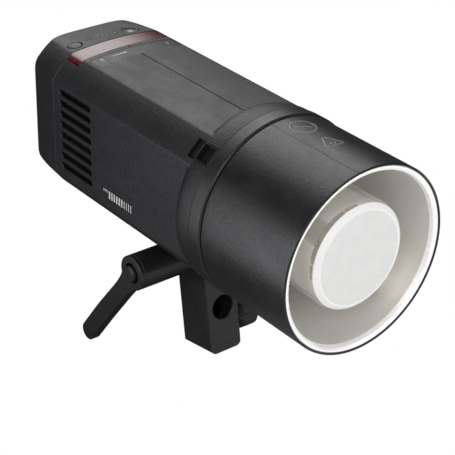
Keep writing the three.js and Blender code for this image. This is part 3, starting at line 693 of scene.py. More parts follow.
def split_shell(radius_at, stations, side, wall, seam):
    """One half of a case shell, from bottom seam to top seam, as a closed solid.

    radius_at(angle, y) is the outer radius; seam(y) gives the seam's half gap and its groove depth.
    stations are (y, drop) pairs: drop sinks the outer skin a little to round off the end rims.
    """
    angles = half_angles()
    rings = []
    for y, drop in stations:
        gap, groove = seam(y)

        def lips(up):
            result = []
            for x, sink in ((gap, groove), (gap + 0.16, groove * 0.3), (gap + 0.42, 0.0)):
                angle = up * math.acos(x / FLAT)
                result.append((x, (radius_at(angle, y) - drop - sink) * math.sin(angle)))
            return result

        skin = [(radius_at(a, y) - drop) for a in angles]
        outer = lips(-1) + [(r * math.cos(a), r * math.sin(a)) for r, a in zip(skin, angles)] + lips(1)[::-1]
        inner = []
        for x, z in outer:
            scale = 1 - wall / math.hypot(x, z)
            inner.append((max(gap, x * scale) if x < 1 else x * scale, z * scale))
        rings.append([(side * x, y, z) for x, z in outer + inner[::-1]])
    shape = loft(rings, capped=False)
    shape.verts.ensure_lookup_table()
    count = len(rings[0])
    for row in (shape.verts[:count], shape.verts[-count:]):
        for j in range(count // 2 - 1):
            shape.faces.new((row[j], row[j + 1], row[count - 2 - j], row[count - 1 - j]))
    bmesh.ops.recalc_face_normals(shape, faces=shape.faces)
    return shape


def ys_between(start, end, step):
    count = max(1, round((end - start) / step))
    return [start + (end - start) * i / count for i in range(count + 1)]


WINDOW_LO, WINDOW_HI = size_of("status_window")
STRIP_LO, STRIP_HI = size_of("sensor_strip")
BAND_HALF = 39.2  # degrees either side of the top
SLIDER_TURN, SLIDER_HALF = -45.4, 6.1  # degrees from the top, and half its width in degrees
SLOT_Y0, SLOT_Y1 = 89.9, 109.9
VENT_Y0, VENT_Y1 = 211.9, 248.1
VENT_TOP, VENT_STEP, VENT_COUNT, VENT_HALF = 29.4, 7.72, 8, 2.1
SCREEN_X0, SCREEN_X1 = -47.5, -47.1
BATTERY_LO, BATTERY_HI = size_of("battery_pack")
FOOT_Y, PIVOT_Z = joint_along("head_tilt", 1), joint_along("head_tilt", 2)
FOOT_HALF_X, FOOT_HALF_Y = 15.3, 22.8


def vent_cutters():
    slots = []
    levels = [(-47, 0), (-49.6, 0), (-50.3, 0.18), (-50.62, 0.5), (-51.5, 1.2)]
    for i in range(VENT_COUNT):
        z = VENT_TOP - VENT_STEP * i
        slots.append(stacked(rounded_rect(VENT_Y0, VENT_Y1, z - VENT_HALF, z + VENT_HALF, 1.9), levels, "X"))
    return together(*slots)


def window_cutter():
    return prism(sector(40, 75, 0, BAND_HALF + 0.55, 40), WINDOW_LO.y - 0.3, CASE_Y1 + 2, "Y")


def strip_cutter():
    return prism(seen_along("Z", (STRIP_LO, STRIP_HI), 0.35, 0.8), STRIP_LO.z - 0.1, 60, "Z")


def slider_cutter():
    return prism(sector(50, 70, SLIDER_TURN, SLIDER_HALF + 0.1, 8), SLOT_Y0, SLOT_Y1, "Y")


def battery_cutter():
    levels = [(44, 0), (FLAT - 0.5, 0), (FLAT, 0.35), (FLAT + 3, 3)]
    return stacked(seen_along("X", (BATTERY_LO, BATTERY_HI), 0.4, 3.0), levels, "X")


def foot_cutter():
    outline = rounded_rect(-FOOT_HALF_X, FOOT_HALF_X, FOOT_Y - FOOT_HALF_Y, FOOT_Y + FOOT_HALF_Y, 2.2)
    return stacked(outline, [(-55, 0.8), (-FLAT, 0.25), (-FLAT + 0.4, 0), (-44, 0)], "Z")


def build_vent_screen():
    """A near-black sheet behind the cooling slots, painted shade that keeps them dark."""
    overlap = 2
    z0 = VENT_TOP - VENT_STEP * (VENT_COUNT - 1) - VENT_HALF - overlap
    low = (SCREEN_X0, VENT_Y0 - overlap, z0)
    high = (SCREEN_X1, VENT_Y1 + overlap, VENT_TOP + VENT_HALF + overlap)
    screen = block(low, high, 0.1, "X")
    piece("vent_shade_sheet", "head", screen, M_VENT_SHADE)


def level(*spans):
    """Stations with no drop, from (start, end, step) spans."""
    return [(y, 0.0) for span in spans for y in ys_between(*span)]


def build_case():
    stations = [(CASE_Y0, 0.35), (CASE_Y0 + 0.35, 0.0)]
    stations += level((92, 98, 2), (98.6, 111.4, 0.4), (114, CASE_Y1 - 2, 10))
    stations += [(CASE_Y1 - 0.4, 0.0), (CASE_Y1, 0.4)]

    def seam(y):
        return (0.15, 0.45) if y > SHOULDER_Y1 + 0.5 else (0.02, 0.0)

    cutters = {
        -1: (vent_cutters, window_cutter, strip_cutter, slider_cutter, foot_cutter),
        1: (window_cutter, strip_cutter, battery_cutter, foot_cutter),
    }
    for side, name in ((-1, "left"), (1, "right")):
        shell = split_shell(housing_radius, stations, side, WALL, seam)
        shell = cut(shell, *[make() for make in cutters[side]])
        piece("case_half_" + name, "head", shell, M_CASE, "housing_" + name, sharp=24)


# ---------------------------------------------------------------- rear cover

# The cover narrows like an ellipse of this half length, and its corners shrink along y.
COVER_REACH = 68.8
COVER_CORNERS = [(230, 61.4), (257, 61.4), (264, 60.6), (270, 60.0), (277, 59.1), (283, 58.1), (289, 57.0),
                 (293, 57.0)]


def cover_half_width(y):
    rise = max(0.0, y - COVER_Y0) / COVER_REACH
    return FLAT * math.sqrt(1 - rise * rise)


def cover_radius(angle, y, blend=0.7):
    across, up = max(abs(math.cos(angle)), 1e-6), math.sin(angle)
    blend += 3.0 * max(0.0, (y - 255) / 35)
    radius = soft_min(case_radius(angle), cover_half_width(y) / across, blend)
    radius = soft_min(radius, interpolated(COVER_CORNERS, y), blend)
    if up < 0:
        low = 70 - 24 * max(0.0, (y - 276) / 14)
        return soft_min(radius, low / -up, blend)
    high = 53.2 - 2.8 * max(0.0, (y - 262) / 28)
    return soft_min(radius, high / max(up, 1e-6), blend)


def around(radii, angles, y, z=0.0):
    """Points of a ring about an axis along Y, with a radius for each angle from the +x side."""
    return [(r * math.cos(a), y, z + r * math.sin(a)) for r, a in zip(radii, angles)]


def cover_solid(stations, inset=0.0):
    right = half_angles()
    angles = right + [math.pi - a for a in reversed(right)]
    rows = []
    for y, drop in stations:
        reach_y = min(y + inset, COVER_Y1 - 0.02)
        rows.append(around([cover_radius(a, reach_y) - inset - drop for a in angles], angles, y))
    return loft(rows)


PANEL_LO, PANEL_HI = size_of("control_panel")
CHECK_LO, CHECK_HI = size_of("battery_check_button")
LOCK_LO, LOCK_HI = size_of("battery_lock_button")
CHECK_R, LOCK_R = (CHECK_HI.x - CHECK_LO.x) / 2, (LOCK_HI.x - LOCK_LO.x) / 2
FLAP_LO, FLAP_HI = size_of("port_cover")
LED_ROW_Y = 265.7
LED_XS = (-15.3, -7.6, -0.4, 6.3)


def top_height(x):
    return FLAT + CROWN * (1 - (x / FLAT_HALF) ** 2)


def round_mouth(radius, x, y, flare):
    """A cutter through the crowned top, with a flared rim."""
    top = top_height(x)
    levels = [(40, 0), (top - 0.5, 0), (top, flare), (top + 4, flare + 2)]
    return stacked(circle(radius, (x, y), 48), levels, "Z")


def build_rear_cover():
    y0, y1 = COVER_Y0, COVER_Y1
    skin = [(y0, 0.4), (y0 + 0.4, 0.0)] + level((y0 + 3, y1 - 5, 2), (y1 - 4.4, y1 - 1.9, 0.5))
    skin += [(y1 - 1.4, 0.0), (y1 - 0.9, 0.12), (y1 - 0.45, 0.4), (y1 - 0.15, 0.8), (y1, 1.4)]
    panel = (PANEL_LO, PANEL_HI)
    pocket = rounded_rect(FLAP_LO.x - 0.3, FLAP_HI.x + 0.3, FLAP_LO.z - 0.3, FLAP_HI.z + 0.6, 1.2)
    panel_levels = [(PANEL_LO.y - 0.3, 0), (PANEL_HI.y + 0.2, 0), (PANEL_HI.y + 4, 2.5)]
    check, lock = centre_of("battery_check_button"), centre_of("battery_lock_button")
    tools = [
        cover_solid(level((y0 - 3, 283.6, 3)), WALL),
        prism(seen_along("Y", panel, -2, 1.8), 270, 300, "Y"),
        stacked(seen_along("Y", panel, 0.3, 1.8), panel_levels, "Y"),
        stacked(pocket, [(286.2, 0), (288.4, 0), (289.4, 0.5), (291, 1)], "Y"),
        prism(rounded_rect(-14, 14, -44.8, -40.2, 1.5), 280, 288, "Y"),
        together(
            round_mouth(CHECK_R + 0.3, check.x, check.y, 0.25),
            round_mouth(LOCK_R + 0.3, lock.x, lock.y, 0.5),
            *[round_mouth(1.5, x, LED_ROW_Y, 0.15) for x in LED_XS],
        ),
    ]
    piece("rear_cover_shell", "head", cut(cover_solid(skin), *tools), M_CASE, "rear_cover", sharp=24)


# ---------------------------------------------------------------- window, strip and top controls


def build_window_band():
    """A strip that follows the case's section over the top, between two angles either side."""
    y0, y1, rim, depth, steps = WINDOW_LO.y, WINDOW_HI.y, 0.3, 2.1, 60
    angles = [RAD(90 - BAND_HALF + 2 * BAND_HALF * i / steps) for i in range(steps + 1)]
    rows = []
    for y, drop in ((y0, rim), (y0 + rim, 0), (y1 - rim, 0), (y1, rim)):
        radii = [case_radius(a) - 0.06 - drop for a in angles]
        rows.append(around(radii, angles, y) + around([r - depth for r in radii], angles, y)[::-1])
    piece("status_window_band", "head", loft(rows), M_RED, "status_window", sharp=30)


def top_skin(y0, y1, sink):
    """A slab whose upper face is the case's crowned top, sunk by a little."""
    outline = [(x, top_height(x) - sink) for x in ys_between(-36, 36, 3)] + [(36, 45), (-36, 45)]
    return prism(outline, y0, y1, "Y")


def build_top_windows():
    build_window_band()
    slab = prism(seen_along("Z", (STRIP_LO, STRIP_HI), 0, 0.6), STRIP_LO.z + 0.02, 60, "Z")
    strip = common(slab, top_skin(STRIP_LO.y - 2, STRIP_HI.y + 2, 0.12))
    piece("sensor_strip_cover", "head", strip, M_PANEL, "sensor_strip", sharp=30)


def printed(name, outlines, face, thickness=0.06, material=M_PRINT, body="head", plane="Z"):
    """Printed marks a few hundredths of a millimetre proud of a face, given as a height or height(x)."""
    shapes = []
    for outline in outlines:
        centre_x = sum(p[0] for p in outline) / len(outline)
        base = face(centre_x) if callable(face) else face
        shapes.append(prism(outline, base - 0.12, base + thickness, plane))
    piece(name, body, together(*shapes), material, sharp=30)


def ring_marks(centre, radius, width, count):
    """A ring as two half bands that meet, so that each outline is simple."""
    halves = []
    for start, end in ((0.02, math.pi), (math.pi + 0.02, 2 * math.pi)):
        angles = [start + (end - start) * i / count for i in range(count + 1)]
        band = [(radius, a) for a in angles] + [(radius - width, a) for a in reversed(angles)]
        halves.append([(centre[0] + r * math.cos(a), centre[1] + r * math.sin(a)) for r, a in band])
    return halves


def build_top_buttons():
    check, lock = centre_of("battery_check_button"), centre_of("battery_lock_button")
    top = CHECK_HI.z
    profile = [(0, CHECK_LO.z), (CHECK_R, CHECK_LO.z), (CHECK_R, top, 0.5), (CHECK_R - 1.2, top + 0.05, 0.6),
               (CHECK_R - 2.0, top - 0.25, 0.8), (0, top - 0.32)]
    button = lathe(profile, 4, "Z", check[:2], 56)
    piece("check_button_cap", "check_button", button, M_KEYS, "battery_check_button", sharp=40)
    top = LOCK_HI.z
    profile = [(0, LOCK_LO.z), (LOCK_R, LOCK_LO.z), (LOCK_R, top, 0.35), (LOCK_R - 1.0, top, 0.3),
               (LOCK_R - 1.5, top - 1.0, 0.5), (0, top - 1.15)]
    button = lathe(profile, 4, "Z", lock[:2], 56)
    piece("lock_button_cap", "lock_button", button, M_KEYS, "battery_lock_button", sharp=40)
    bar = rounded_rect(lock.x - 1.6, lock.x + 1.6, lock.y - 1.1, lock.y - 0.3, 0.3)
    turns = [math.pi * t / 8 for t in range(9)]
    band = [(1.6, a) for a in turns] + [(1.0, a) for a in reversed(turns)]
    arch = [(lock.x + r * math.cos(a), lock.y + 0.1 + r * math.sin(a)) for r, a in band]
    printed("lock_button_mark", [bar, arch], top - 1.12, body="lock_button")


def build_light_guide():
    guide = block((-17.5, 263.2, 45.6), (8.5, 268.2, 46.85), 0.3)
    for x in LED_XS:
        profile = [(0, 46.9), (1.3, 46.9), (1.3, top_height(x) - 0.12, 0.35), (0, top_height(x) - 0.02)]
        guide = fused(guide, shifted(lathe(profile, 3, "Z", (x, LED_ROW_Y), 24), z=-0.1))
    piece("battery_light_guide", "head", guide, M_GUIDE, "battery_led_guide", sharp=35)


def build_strip_marks():
    marks = ring_marks((-25.5, 232.4), 1.9, 0.4, 12)
    marks.append(rounded_rect(-25.75, -25.25, 232.2, 234.6, 0.2, 2))
    for i in range(6):
        x = -17.2 + 1.9 * i
        marks.append(rounded_rect(x, x + 1.25, 232.3, 233.9, 0.25, 2))
    marks += ring_marks((25.6, 231.6), 1.2, 0.35, 10)
    printed("strip_marks", marks, lambda x: top_height(x) - 0.12, thickness=0.02)


def build_top_controls():
    build_top_buttons()
    build_light_guide()
    build_strip_marks()


# ---------------------------------------------------------------- front ring and release slider

THIRDS = (0, 120, 240)


def build_front_ring():
    inner = 52.3
    profile = [(inner, RING_Y0), (RING_R - 0.9, RING_Y0, 0.3), (RING_R, RING_Y0 + 0.9, 0.6),
               (RING_R, RING_Y1, 0.35), (inner, RING_Y1)]
    ring = lathe(profile, 4, "Y", count=192, loop=True)
    lugs = [prism(sector(49.1, inner + 0.8, turn, 42, 20), RING_Y0 + 0.02, 83.4, "Y", 0.4)
            for turn in THIRDS]
    pin = centre_of("lock_pin")
    hole = rod(1.5, RING_Y0 - 4, RING_Y1 + 4, "Y", (pin.x, pin.z), count=20)
    piece("bayonet_ring", "head", cut(fused(ring, together(*lugs)), hole), M_RING, "front_ring", sharp=32)


def build_release_slider():
    lo, hi = size_of("release_slider")
    top_r = 61.55
    hollow_end = 103.3
    carriage = prism(sector(56, 58.8, SLIDER_TURN, 7.4, 8), lo.y, hi.y, "Y", 0.3)
    cap = prism(sector(57.5, top_r, SLIDER_TURN, SLIDER_HALF - 0.25, 10), lo.y, hollow_end, "Y", 0.35)
    hollow = prism(sector(57.2, 66, SLIDER_TURN, SLIDER_HALF - 0.95, 8), lo.y + 1.1, hollow_end - 1.1, "Y")
    slider = cut(fused(carriage, cap), hollow)
    piece("release_slider_cap", "slider", slider, M_CASE, "release_slider", sharp=30)
    ribs = []
    for y in (lo.y + 3.0 + 2.4 * i for i in range(4)):
        ribs.append(prism(sector(57.0, 57.9, SLIDER_TURN, SLIDER_HALF - 1.6, 6), y, y + 0.9, "Y", 0.25))
    piece("release_slider_ribs", "slider", together(*ribs), M_CASE, sharp=30)
    pin_lo, pin_hi = size_of("lock_pin")
    centre = centre_of("lock_pin")
    pin = rod(1.1, pin_lo.y, pin_hi.y, "Y", (centre.x, centre.z), 0.35, 24)
    piece("lock_pin_rod", "slider", pin, M_STEEL, "lock_pin")


# ---------------------------------------------------------------- reflector and lamp parts

# Turns are degrees from the top, positive to the right.
SEAM_TURN = -9.3
MARK_TURN = 2.4
SEAM_RIDGE = 0.16
MARK_RING_Y, MARK_RING_R = 63.2, 8.2
MARK_TRIANGLE_Y, MARK_TRIANGLE_R = 38.0, 8.4


def build_reflector_tube():
    rim = TUBE_R - 1.25
    back_in = 49.2
    outer = [(TUBE_R - 0.95, 0.0), (TUBE_R - 0.5, 0.12), (TUBE_R - 0.15, 0.45), (TUBE_R, 0.95)]
    outer += [(TUBE_R, y) for y in ys_between(4, TUBE_Y1 - 4, 9)]
    outer += [(TUBE_R, TUBE_Y1 - 1.1), (TUBE_R - 0.15, TUBE_Y1 - 0.5), (TUBE_R - 0.7, TUBE_Y1)]
    inner = [(back_in, TUBE_Y1), (back_in, TUBE_Y1 - 1.6), (rim - 1.2, TUBE_Y1 - 1.6), (rim, TUBE_Y1 - 2.8),
             (rim, 0.35), (rim + 0.1, 0.1)]
    even, near_seam = [2.5 * i for i in range(144)], [(SEAM_TURN % 360) + 0.18 * k for k in range(-6, 7)]
    turns = sorted(set(even + near_seam))
    rows = []
    for radius, y in outer + inner:
        ridge = SEAM_RIDGE if radius > TUBE_R - 1.0 and y > 0.4 else 0.0
        row = []
        for turn in turns:
            off = (turn - SEAM_TURN + 180) % 360 - 180
            reach = radius + ridge * math.exp(-((off / 0.42) ** 2))
            row.append((reach * math.sin(RAD(turn)), y, reach * math.cos(RAD(turn))))
        rows.append(row)
    tube = loft(rows, loop=True)
    track = prism(sector(55.8, 58.8, SLIDER_TURN, 26, 16), TUBE_Y1 - 3, TUBE_Y1 + 3, "Y")
    piece("reflector_barrel", "reflector", cut(tube, track), M_COAT, "reflector_tube", sharp=30)
    build_tube_marks()


def ribbon(path, width, height, radius, closed=True):
    """A low rounded bead along a path of (arc length from the top, y) points on the tube's outside."""
    rows = []
    count = len(path)
    for i, (s, y) in enumerate(path):
        before = Vector(path[i - 1] if closed or i else path[i])
        after = Vector(path[(i + 1) % count] if closed or i < count - 1 else path[i])
        along = (after - before).normalized()
        side = Vector((-along.y, along.x))
        row = []
        for off, lift in ((-0.5, -0.15), (-0.42, 0.6), (-0.2, 1.0), (0.2, 1.0), (0.42, 0.6), (0.5, -0.15)):
            point = Vector((s, y)) + side * off * width
            reach = radius + lift * height
            a = point.x / radius
            row.append((reach * math.sin(a), point.y, reach * math.cos(a)))
        rows.append(row)
    return loft(rows, loop=closed)


def build_tube_marks():
    offset = RAD(MARK_TURN) * TUBE_R
    ring = [(offset + a, MARK_RING_Y + b) for a, b in circle(MARK_RING_R, count=64)]
    spoke = [(offset - 4.6, MARK_RING_Y + 3.0), (offset + 4.6, MARK_RING_Y - 3.0)]
    corners = [(offset + MARK_TRIANGLE_R * math.cos(RAD(t)) * 1.05,
                MARK_TRIANGLE_Y + MARK_TRIANGLE_R * math.sin(RAD(t)), 1.6) for t in (180 + 32, -28, 92)]
    triangle = filleted(corners, 6)
    dot = [(offset + a, MARK_TRIANGLE_Y - 1.4 + b) for a, b in circle(1.7, count=24)]
    shapes = [ribbon(ring, 1.15, 0.28, TUBE_R), ribbon(triangle, 1.15, 0.28, TUBE_R),
              ribbon(dot, 0.8, 0.22, TUBE_R), ribbon(spoke, 1.0, 0.24, TUBE_R, closed=False)]
    piece("barrel_embossed_marks", "reflector", together(*shapes), M_MARK, sharp=50)


def build_reflector_cone():
    lip_r = 59.9
    profile = [
        (lip_r, 0.75, 0.3), (lip_r, 5.8), (58.6, 5.8), (42.6, 71.6), (47, 71.6, 0.2), (47, 73, 0.2),
        (40.9, 73), (55.9, 6.6, 1.2), (56.4, 4.6, 0.8), (57.0, 1.7, 0.9), (58.6, 0.72, 0.8),
    ]
    cone = lathe(profile, 5, "Y", count=192, loop=True)
    polished_y = 4.2
    # The front lip, up to polished_y, takes the polished material with its painted glow.
    piece("reflector_bowl", "reflector", cone, [M_SILVER, M_LIP_PAINTED_GLOW], "reflector_cone", sharp=40,
          zone=lambda p: 1 if p.y < polished_y else 0)
    profile = [(44, 73.3), (56, 73.3, 0.4), (56, 76.2, 0.4), (48.7, 76.2, 0.6), (48.7, 87, 0.5), (44, 87)]
    collar = lathe(profile, 3, "Y", count=144, loop=True)
    tabs = [prism(sector(48, 51.6, turn, 14, 10), 84, 86.8, "Y", 0.4) for turn in THIRDS]
    piece("bayonet_collar_ring", "reflector", fused(collar, together(*tabs)), M_STEEL, "bayonet_collar")


def build_lamp():
    lo, hi = size_of("glass_dome")
    outer_r = hi.x
    profile = [
        (0, lo.y - 1.6), (29.6, lo.y - 1.2), (30.4, lo.y - 0.9, 0.4), (31.6, lo.y - 1.1, 0.6),
        (34.4, lo.y + 1.2, 1.8), (outer_r, lo.y + 5.2, 1.5), (outer_r, hi.y), (outer_r - 2.2, hi.y),
        (outer_r - 2.2, lo.y + 5.8, 1.2), (31.2, lo.y + 2.8, 1.2), (0, lo.y + 2.2),
    ]
    frost_y = lo.y + 2.2
    # The bevel ring round the frosted face takes the brighter-glowing material, a painted highlight ring.
    piece("glass_dome_cap", "head", lathe(profile, 6, "Y", count=160), [M_FROST, M_GLASS, M_BEVEL_PAINTED_HIGHLIGHT],
          "glass_dome", sharp=40,
          zone=lambda p: 1 if p.y > frost_y else 2 if math.hypot(p.x, p.z) > 30.6 else 0)
    lo, hi = size_of("modelling_lamp")
    profile = [(0, lo.y), (3.4, lo.y + 0.4, 1.5), (6.6, lo.y + 2.6, 2.5), (8.2, lo.y + 6.0, 0.8),
               (10.5, lo.y + 6.3, 0.5), (10.5, hi.y, 0.4), (0, hi.y)]
    bulb_y = lo.y + 6.1
    piece("modelling_lamp_bulb", "head", lathe(profile, 5, "Y"), [M_CERAMIC, M_QUARTZ], "modelling_lamp",
          zone=lambda p: 0 if p.y > bulb_y else 1)
    profile = [(0, 66.1), (32.8, 66.1, 0.6), (33.1, 72.1, 0.4), (38.5, 72.1, 0.5), (38.5, 75.7, 0.4),
               (0, 75.7)]
    piece("tube_base_disc", "head", lathe(profile, 4, "Y", count=96), M_CERAMIC, "tube_base")
    profile = [(0, 76), (43.3, 76, 0.5), (43.3, 89.3, 0.8), (54, 89.3, 0.5), (54, 91.6, 0.5),
               (40.5, 91.6, 1.0), (40.5, 79, 1.0), (0, 79)]
    piece("lamp_bulkhead_cup", "head", lathe(profile, 4, "Y", count=96), M_STEEL, "lamp_bulkhead")


def swept(path, radius, count):
    """A round bar with flat ends along a path of points."""
    points = [Vector(p) for p in path]
    turns = [2 * math.pi * k / count for k in range(count)]
    normal = Vector((0, 0, 1)).cross(points[1] - points[0]).normalized()
    rows = []
    for i, point in enumerate(points):
        along = (points[min(i + 1, len(points) - 1)] - points[max(i - 1, 0)]).normalized()
        normal = (normal - along * normal.dot(along)).normalized()
        side = along.cross(normal)
        rows.append([point + (normal * math.cos(a) + side * math.sin(a)) * radius for a in turns])
    return loft(rows)


FLASH_R, FLASH_Y, FLASH_BACK = 22, 34, 65.9
FLASH_GAP = 0.3


def on_flash_ring(angle, y, reach=FLASH_R):
    """A point at an angle from the bottom of the flash tube's ring."""
    return (reach * math.sin(angle), y, -reach * math.cos(angle))


def flash_path():
    """Up one leg, round the ring and down the other leg."""
    legs = []
    for angle in (FLASH_GAP, -FLASH_GAP):
        ys = [FLASH_BACK - (FLASH_BACK - FLASH_Y - 5) * i / 6 for i in range(7)]
        legs.append([Vector(on_flash_ring(angle, y)) for y in ys])
    start, steps = FLASH_GAP + 0.2, 44
    span = 2 * math.pi - 2 * FLASH_GAP - 0.4
    arc = [Vector(on_flash_ring(start + span * i / steps, FLASH_Y)) for i in range(steps + 1)]
    bends = []
    for leg, end in ((legs[0], arc[0]), (legs[1], arc[-1])):
        corner = Vector((leg[-1].x, FLASH_Y, leg[-1].z))
        bends.append([leg[-1].lerp(corner, t).lerp(corner.lerp(end, t), t) for t in (0.25, 0.5, 0.75)])
    return legs[0] + bends[0] + arc + bends[1][::-1] + legs[1][::-1]


def build_flash_tube():
    piece("flash_tube_ring", "head", swept(flash_path(), 3.9, 24), M_QUARTZ, "flash_tube")
    caps = []
    for angle in (FLASH_GAP, -FLASH_GAP):
        x, _, z = on_flash_ring(angle, 0)
        caps.append(rod(4.6, 58.5, FLASH_BACK, "Y", (x, z), 0.5, 32))
    piece("flash_tube_end_caps", "head", together(*caps), M_STEEL)
    turns, coil_r = 34, 4.25
    wire = []
    for i in range(turns * 10 + 1):
        t = i / (turns * 10)
        spin = 2 * math.pi * turns * t
        angle = 0.55 + (2 * math.pi - 1.1) * t
        y, reach = FLASH_Y + coil_r * math.sin(spin), FLASH_R + coil_r * math.cos(spin)
        wire.append(on_flash_ring(angle, y, reach))
    piece("trigger_wire", "head", swept(wire, 0.28, 6), M_BRASS)
    clips = []
    for turn in (35, 145, 215, 325):
        a = RAD(turn)
        strap = prism(rounded_rect(-2.6, 2.6, -0.45, 0.45, 0.3, 2), 22, 66, "Y", 0.2)
        place = Matrix.Translation((29.5 * math.sin(a), 0, 29.5 * math.cos(a)))
        clips.append(moved(strap, place @ Matrix.Rotation(a, 4, "Y")))
    piece("dome_spring_clips", "head", together(*clips), M_BRASS)


# ---------------------------------------------------------------- back of the head


KEYS = ("mode", "group", "lamp", "test")


def flared_hole(node, margin, radius):
    """A cutter through the panel plate round a CAD node, with an eased rim."""
    levels = [(PANEL_LO.y - 3, 0), (PANEL_HI.y - 0.3, 0), (PANEL_HI.y + 0.02, 0.3), (PANEL_HI.y + 2, 1)]
    return stacked(seen_along("Y", size_of(node), margin, radius), levels, "Y")


def build_key(name):
    """One key with its mark. Gives back the key's middle."""
    node, body = name + "_button", name + "_key"
    lo, hi = size_of(node)
    levels = [(lo.y, 0), (hi.y - 0.7, 0), (hi.y - 0.3, -0.15), (hi.y - 0.05, -0.5), (hi.y - 0.1, -1.4),
              (hi.y - 0.3, -2.4)]
    key = stacked(seen_along("Y", (lo, hi), 0, 2.4), levels, "Y")
    piece(name + "_key_cap", body, key, M_KEYS, node, sharp=45)
    x, z = (lo.x + hi.x) / 2, (lo.z + hi.z) / 2
    bar = [rounded_rect(x - 2.0, x + 2.0, z - 0.25, z + 0.25, 0.2, 2)]
    mark = bar if name in ("mode", "group") else ring_marks((x, z), 1.2, 0.4, 10)
    printed(name + "_key_mark", mark, hi.y - 0.28, body=body, plane="Y")
    return x, z


def build_control_panel():
    dial_z = joint_along("dial_turn", 2)
    plate = prism(seen_along("Y", (PANEL_LO, PANEL_HI), 0, 1.8), PANEL_LO.y, PANEL_HI.y, "Y", 0.4)
    holes = [flared_hole("display_window", 0.25, 1.7)]
    holes.append(rod(6.4, PANEL_LO.y - 3, PANEL_HI.y + 3, "Y", (0, dial_z)))
    holes += [flared_hole(name + "_button", 0.3, 2.6) for name in KEYS]
    piece("control_panel_plate", "head", cut(plate, together(*holes)), M_PANEL, "control_panel", sharp=30)
    glass_lo, glass_hi = size_of("display_window")
    glass = prism(seen_along("Y", (glass_lo, glass_hi), 0, 1.5), glass_lo.y, glass_hi.y, "Y", 0.25)
    piece("display_glass", "head", glass, M_SCREEN, "display_window", sharp=30)
    build_display_marks(glass_hi.y)
    marks = []
    for name in KEYS:
        x, z = build_key(name)
        marks.append(rounded_rect(x - 2.6, x + 2.6, z + 5.2, z + 5.7, 0.2, 2))
    printed("panel_marks", marks, PANEL_HI.y, thickness=0.03, plane="Y")
    build_dial(dial_z)


SEGMENTS = {"1": "bc", "6": "acdefg"}


def digit(symbol, x, z, width, height, thick):
    """Strokes of a seven-segment figure whose lower left corner is at x, z, mirrored to read from behind."""
    half = height / 2
    places = {
        "a": (0, height, width, height), "b": (width, half, width, height), "c": (width, 0, width, half),
        "d": (0, 0, width, 0), "e": (0, 0, 0, half), "f": (0, half, 0, height), "g": (0, half, width, half),
    }
    strokes = []
    for key in SEGMENTS[symbol]:
        x0, z0, x1, z1 = places[key]
        flat = z0 == z1
        low = (x0 + 0.55, z0 - thick / 2) if flat else (x0 - thick / 2, z0 + 0.55)
        high = (x1 - 0.55, z1 + thick / 2) if flat else (x1 + thick / 2, z1 - 0.55)
        strokes.append(rounded_rect(x - high[0], x - low[0], z + low[1], z + high[1], 0.3, 2))
    return strokes


def build_display_marks(face):
    """Plain figures and bars of a power read-out on the glass."""
    marks = digit("1", 16, 12, 5, 11, 1.3) + digit("1", 3, 12, 5, 11, 1.3) + digit("6", -5, 12, 5.5, 11, 1.3)
    slash = [(4.6, 11.0), (5.8, 11.0), (1.9, 24.0), (0.7, 24.0)]
    marks.append([(x + 2.2, z) for x, z in slash])
    for i in range(12):
        x = 20 - 3.4 * i
        marks.append(rounded_rect(x - 2.4, x, 5.2, 7.6 if i < 8 else 5.8, 0.25, 2))
    marks.append(rounded_rect(-21.5, -14.5, 28.6, 32.0, 0.5, 3))
    marks += ring_marks((19.5, 30.4), 1.7, 0.5, 10)
    for i in range(3):
        marks.append(rounded_rect(11.5 - 4 * i, 14 - 4 * i, 29.4, 31.4, 0.3, 2))
    printed("display_figures", marks, face, thickness=0.025, material=M_GLOW, plane="Y")


def build_dial(dial_z):
    lo, hi = size_of("set_dial")
    key_lo, key_hi = size_of("set_button")
    foot = PANEL_HI.y + 0.35
    reach, ridges = 11.9, 36
    turns = [2 * math.pi * i / (ridges * 6) for i in range(ridges * 6)]
    rows = []
    for y, drop in ((foot, 0.35), (PANEL_HI.y + 0.7, 0.0), (hi.y - 1.1, 0.0), (hi.y - 0.5, 0.35),
                    (hi.y - 0.15, 1.0), (hi.y, 1.9)):
        knurl = 0.32 if drop < 1.5 else 0.0
        radii = [reach - drop - knurl * (0.5 + 0.5 * math.cos(ridges * a)) ** 0.7 for a in turns]
        rows.append(around(radii, turns, y, dial_z))
    for r, y in ((8.8, hi.y - 0.02), (8.2, hi.y - 0.45), (6.2, hi.y - 0.5), (5.75, hi.y - 0.2),
                 (5.45, hi.y - 0.6), (5.45, lo.y), (6.1, lo.y), (6.1, foot)):
        rows.append(around([r] * len(turns), turns, y, dial_z))
    piece("set_dial_ring", "dial", loft(rows, loop=True), M_KEYS, "set_dial", sharp=40)
    profile = [(0, key_lo.y), (5.1, key_lo.y), (5.1, key_hi.y, 0.6), (3.6, key_hi.y, 1.2),
               (0, key_hi.y - 0.35)]
    button = lathe(profile, 4, "Y", (0, dial_z), 56)
    piece("set_button_cap", "dial_key", button, M_KEYS, "set_button", sharp=45)
    dot = circle(0.45, (0, dial_z + 9.8), 12)
    printed("dial_index_mark", [dot], hi.y - 0.12, thickness=0.1, body="dial", plane="Y")


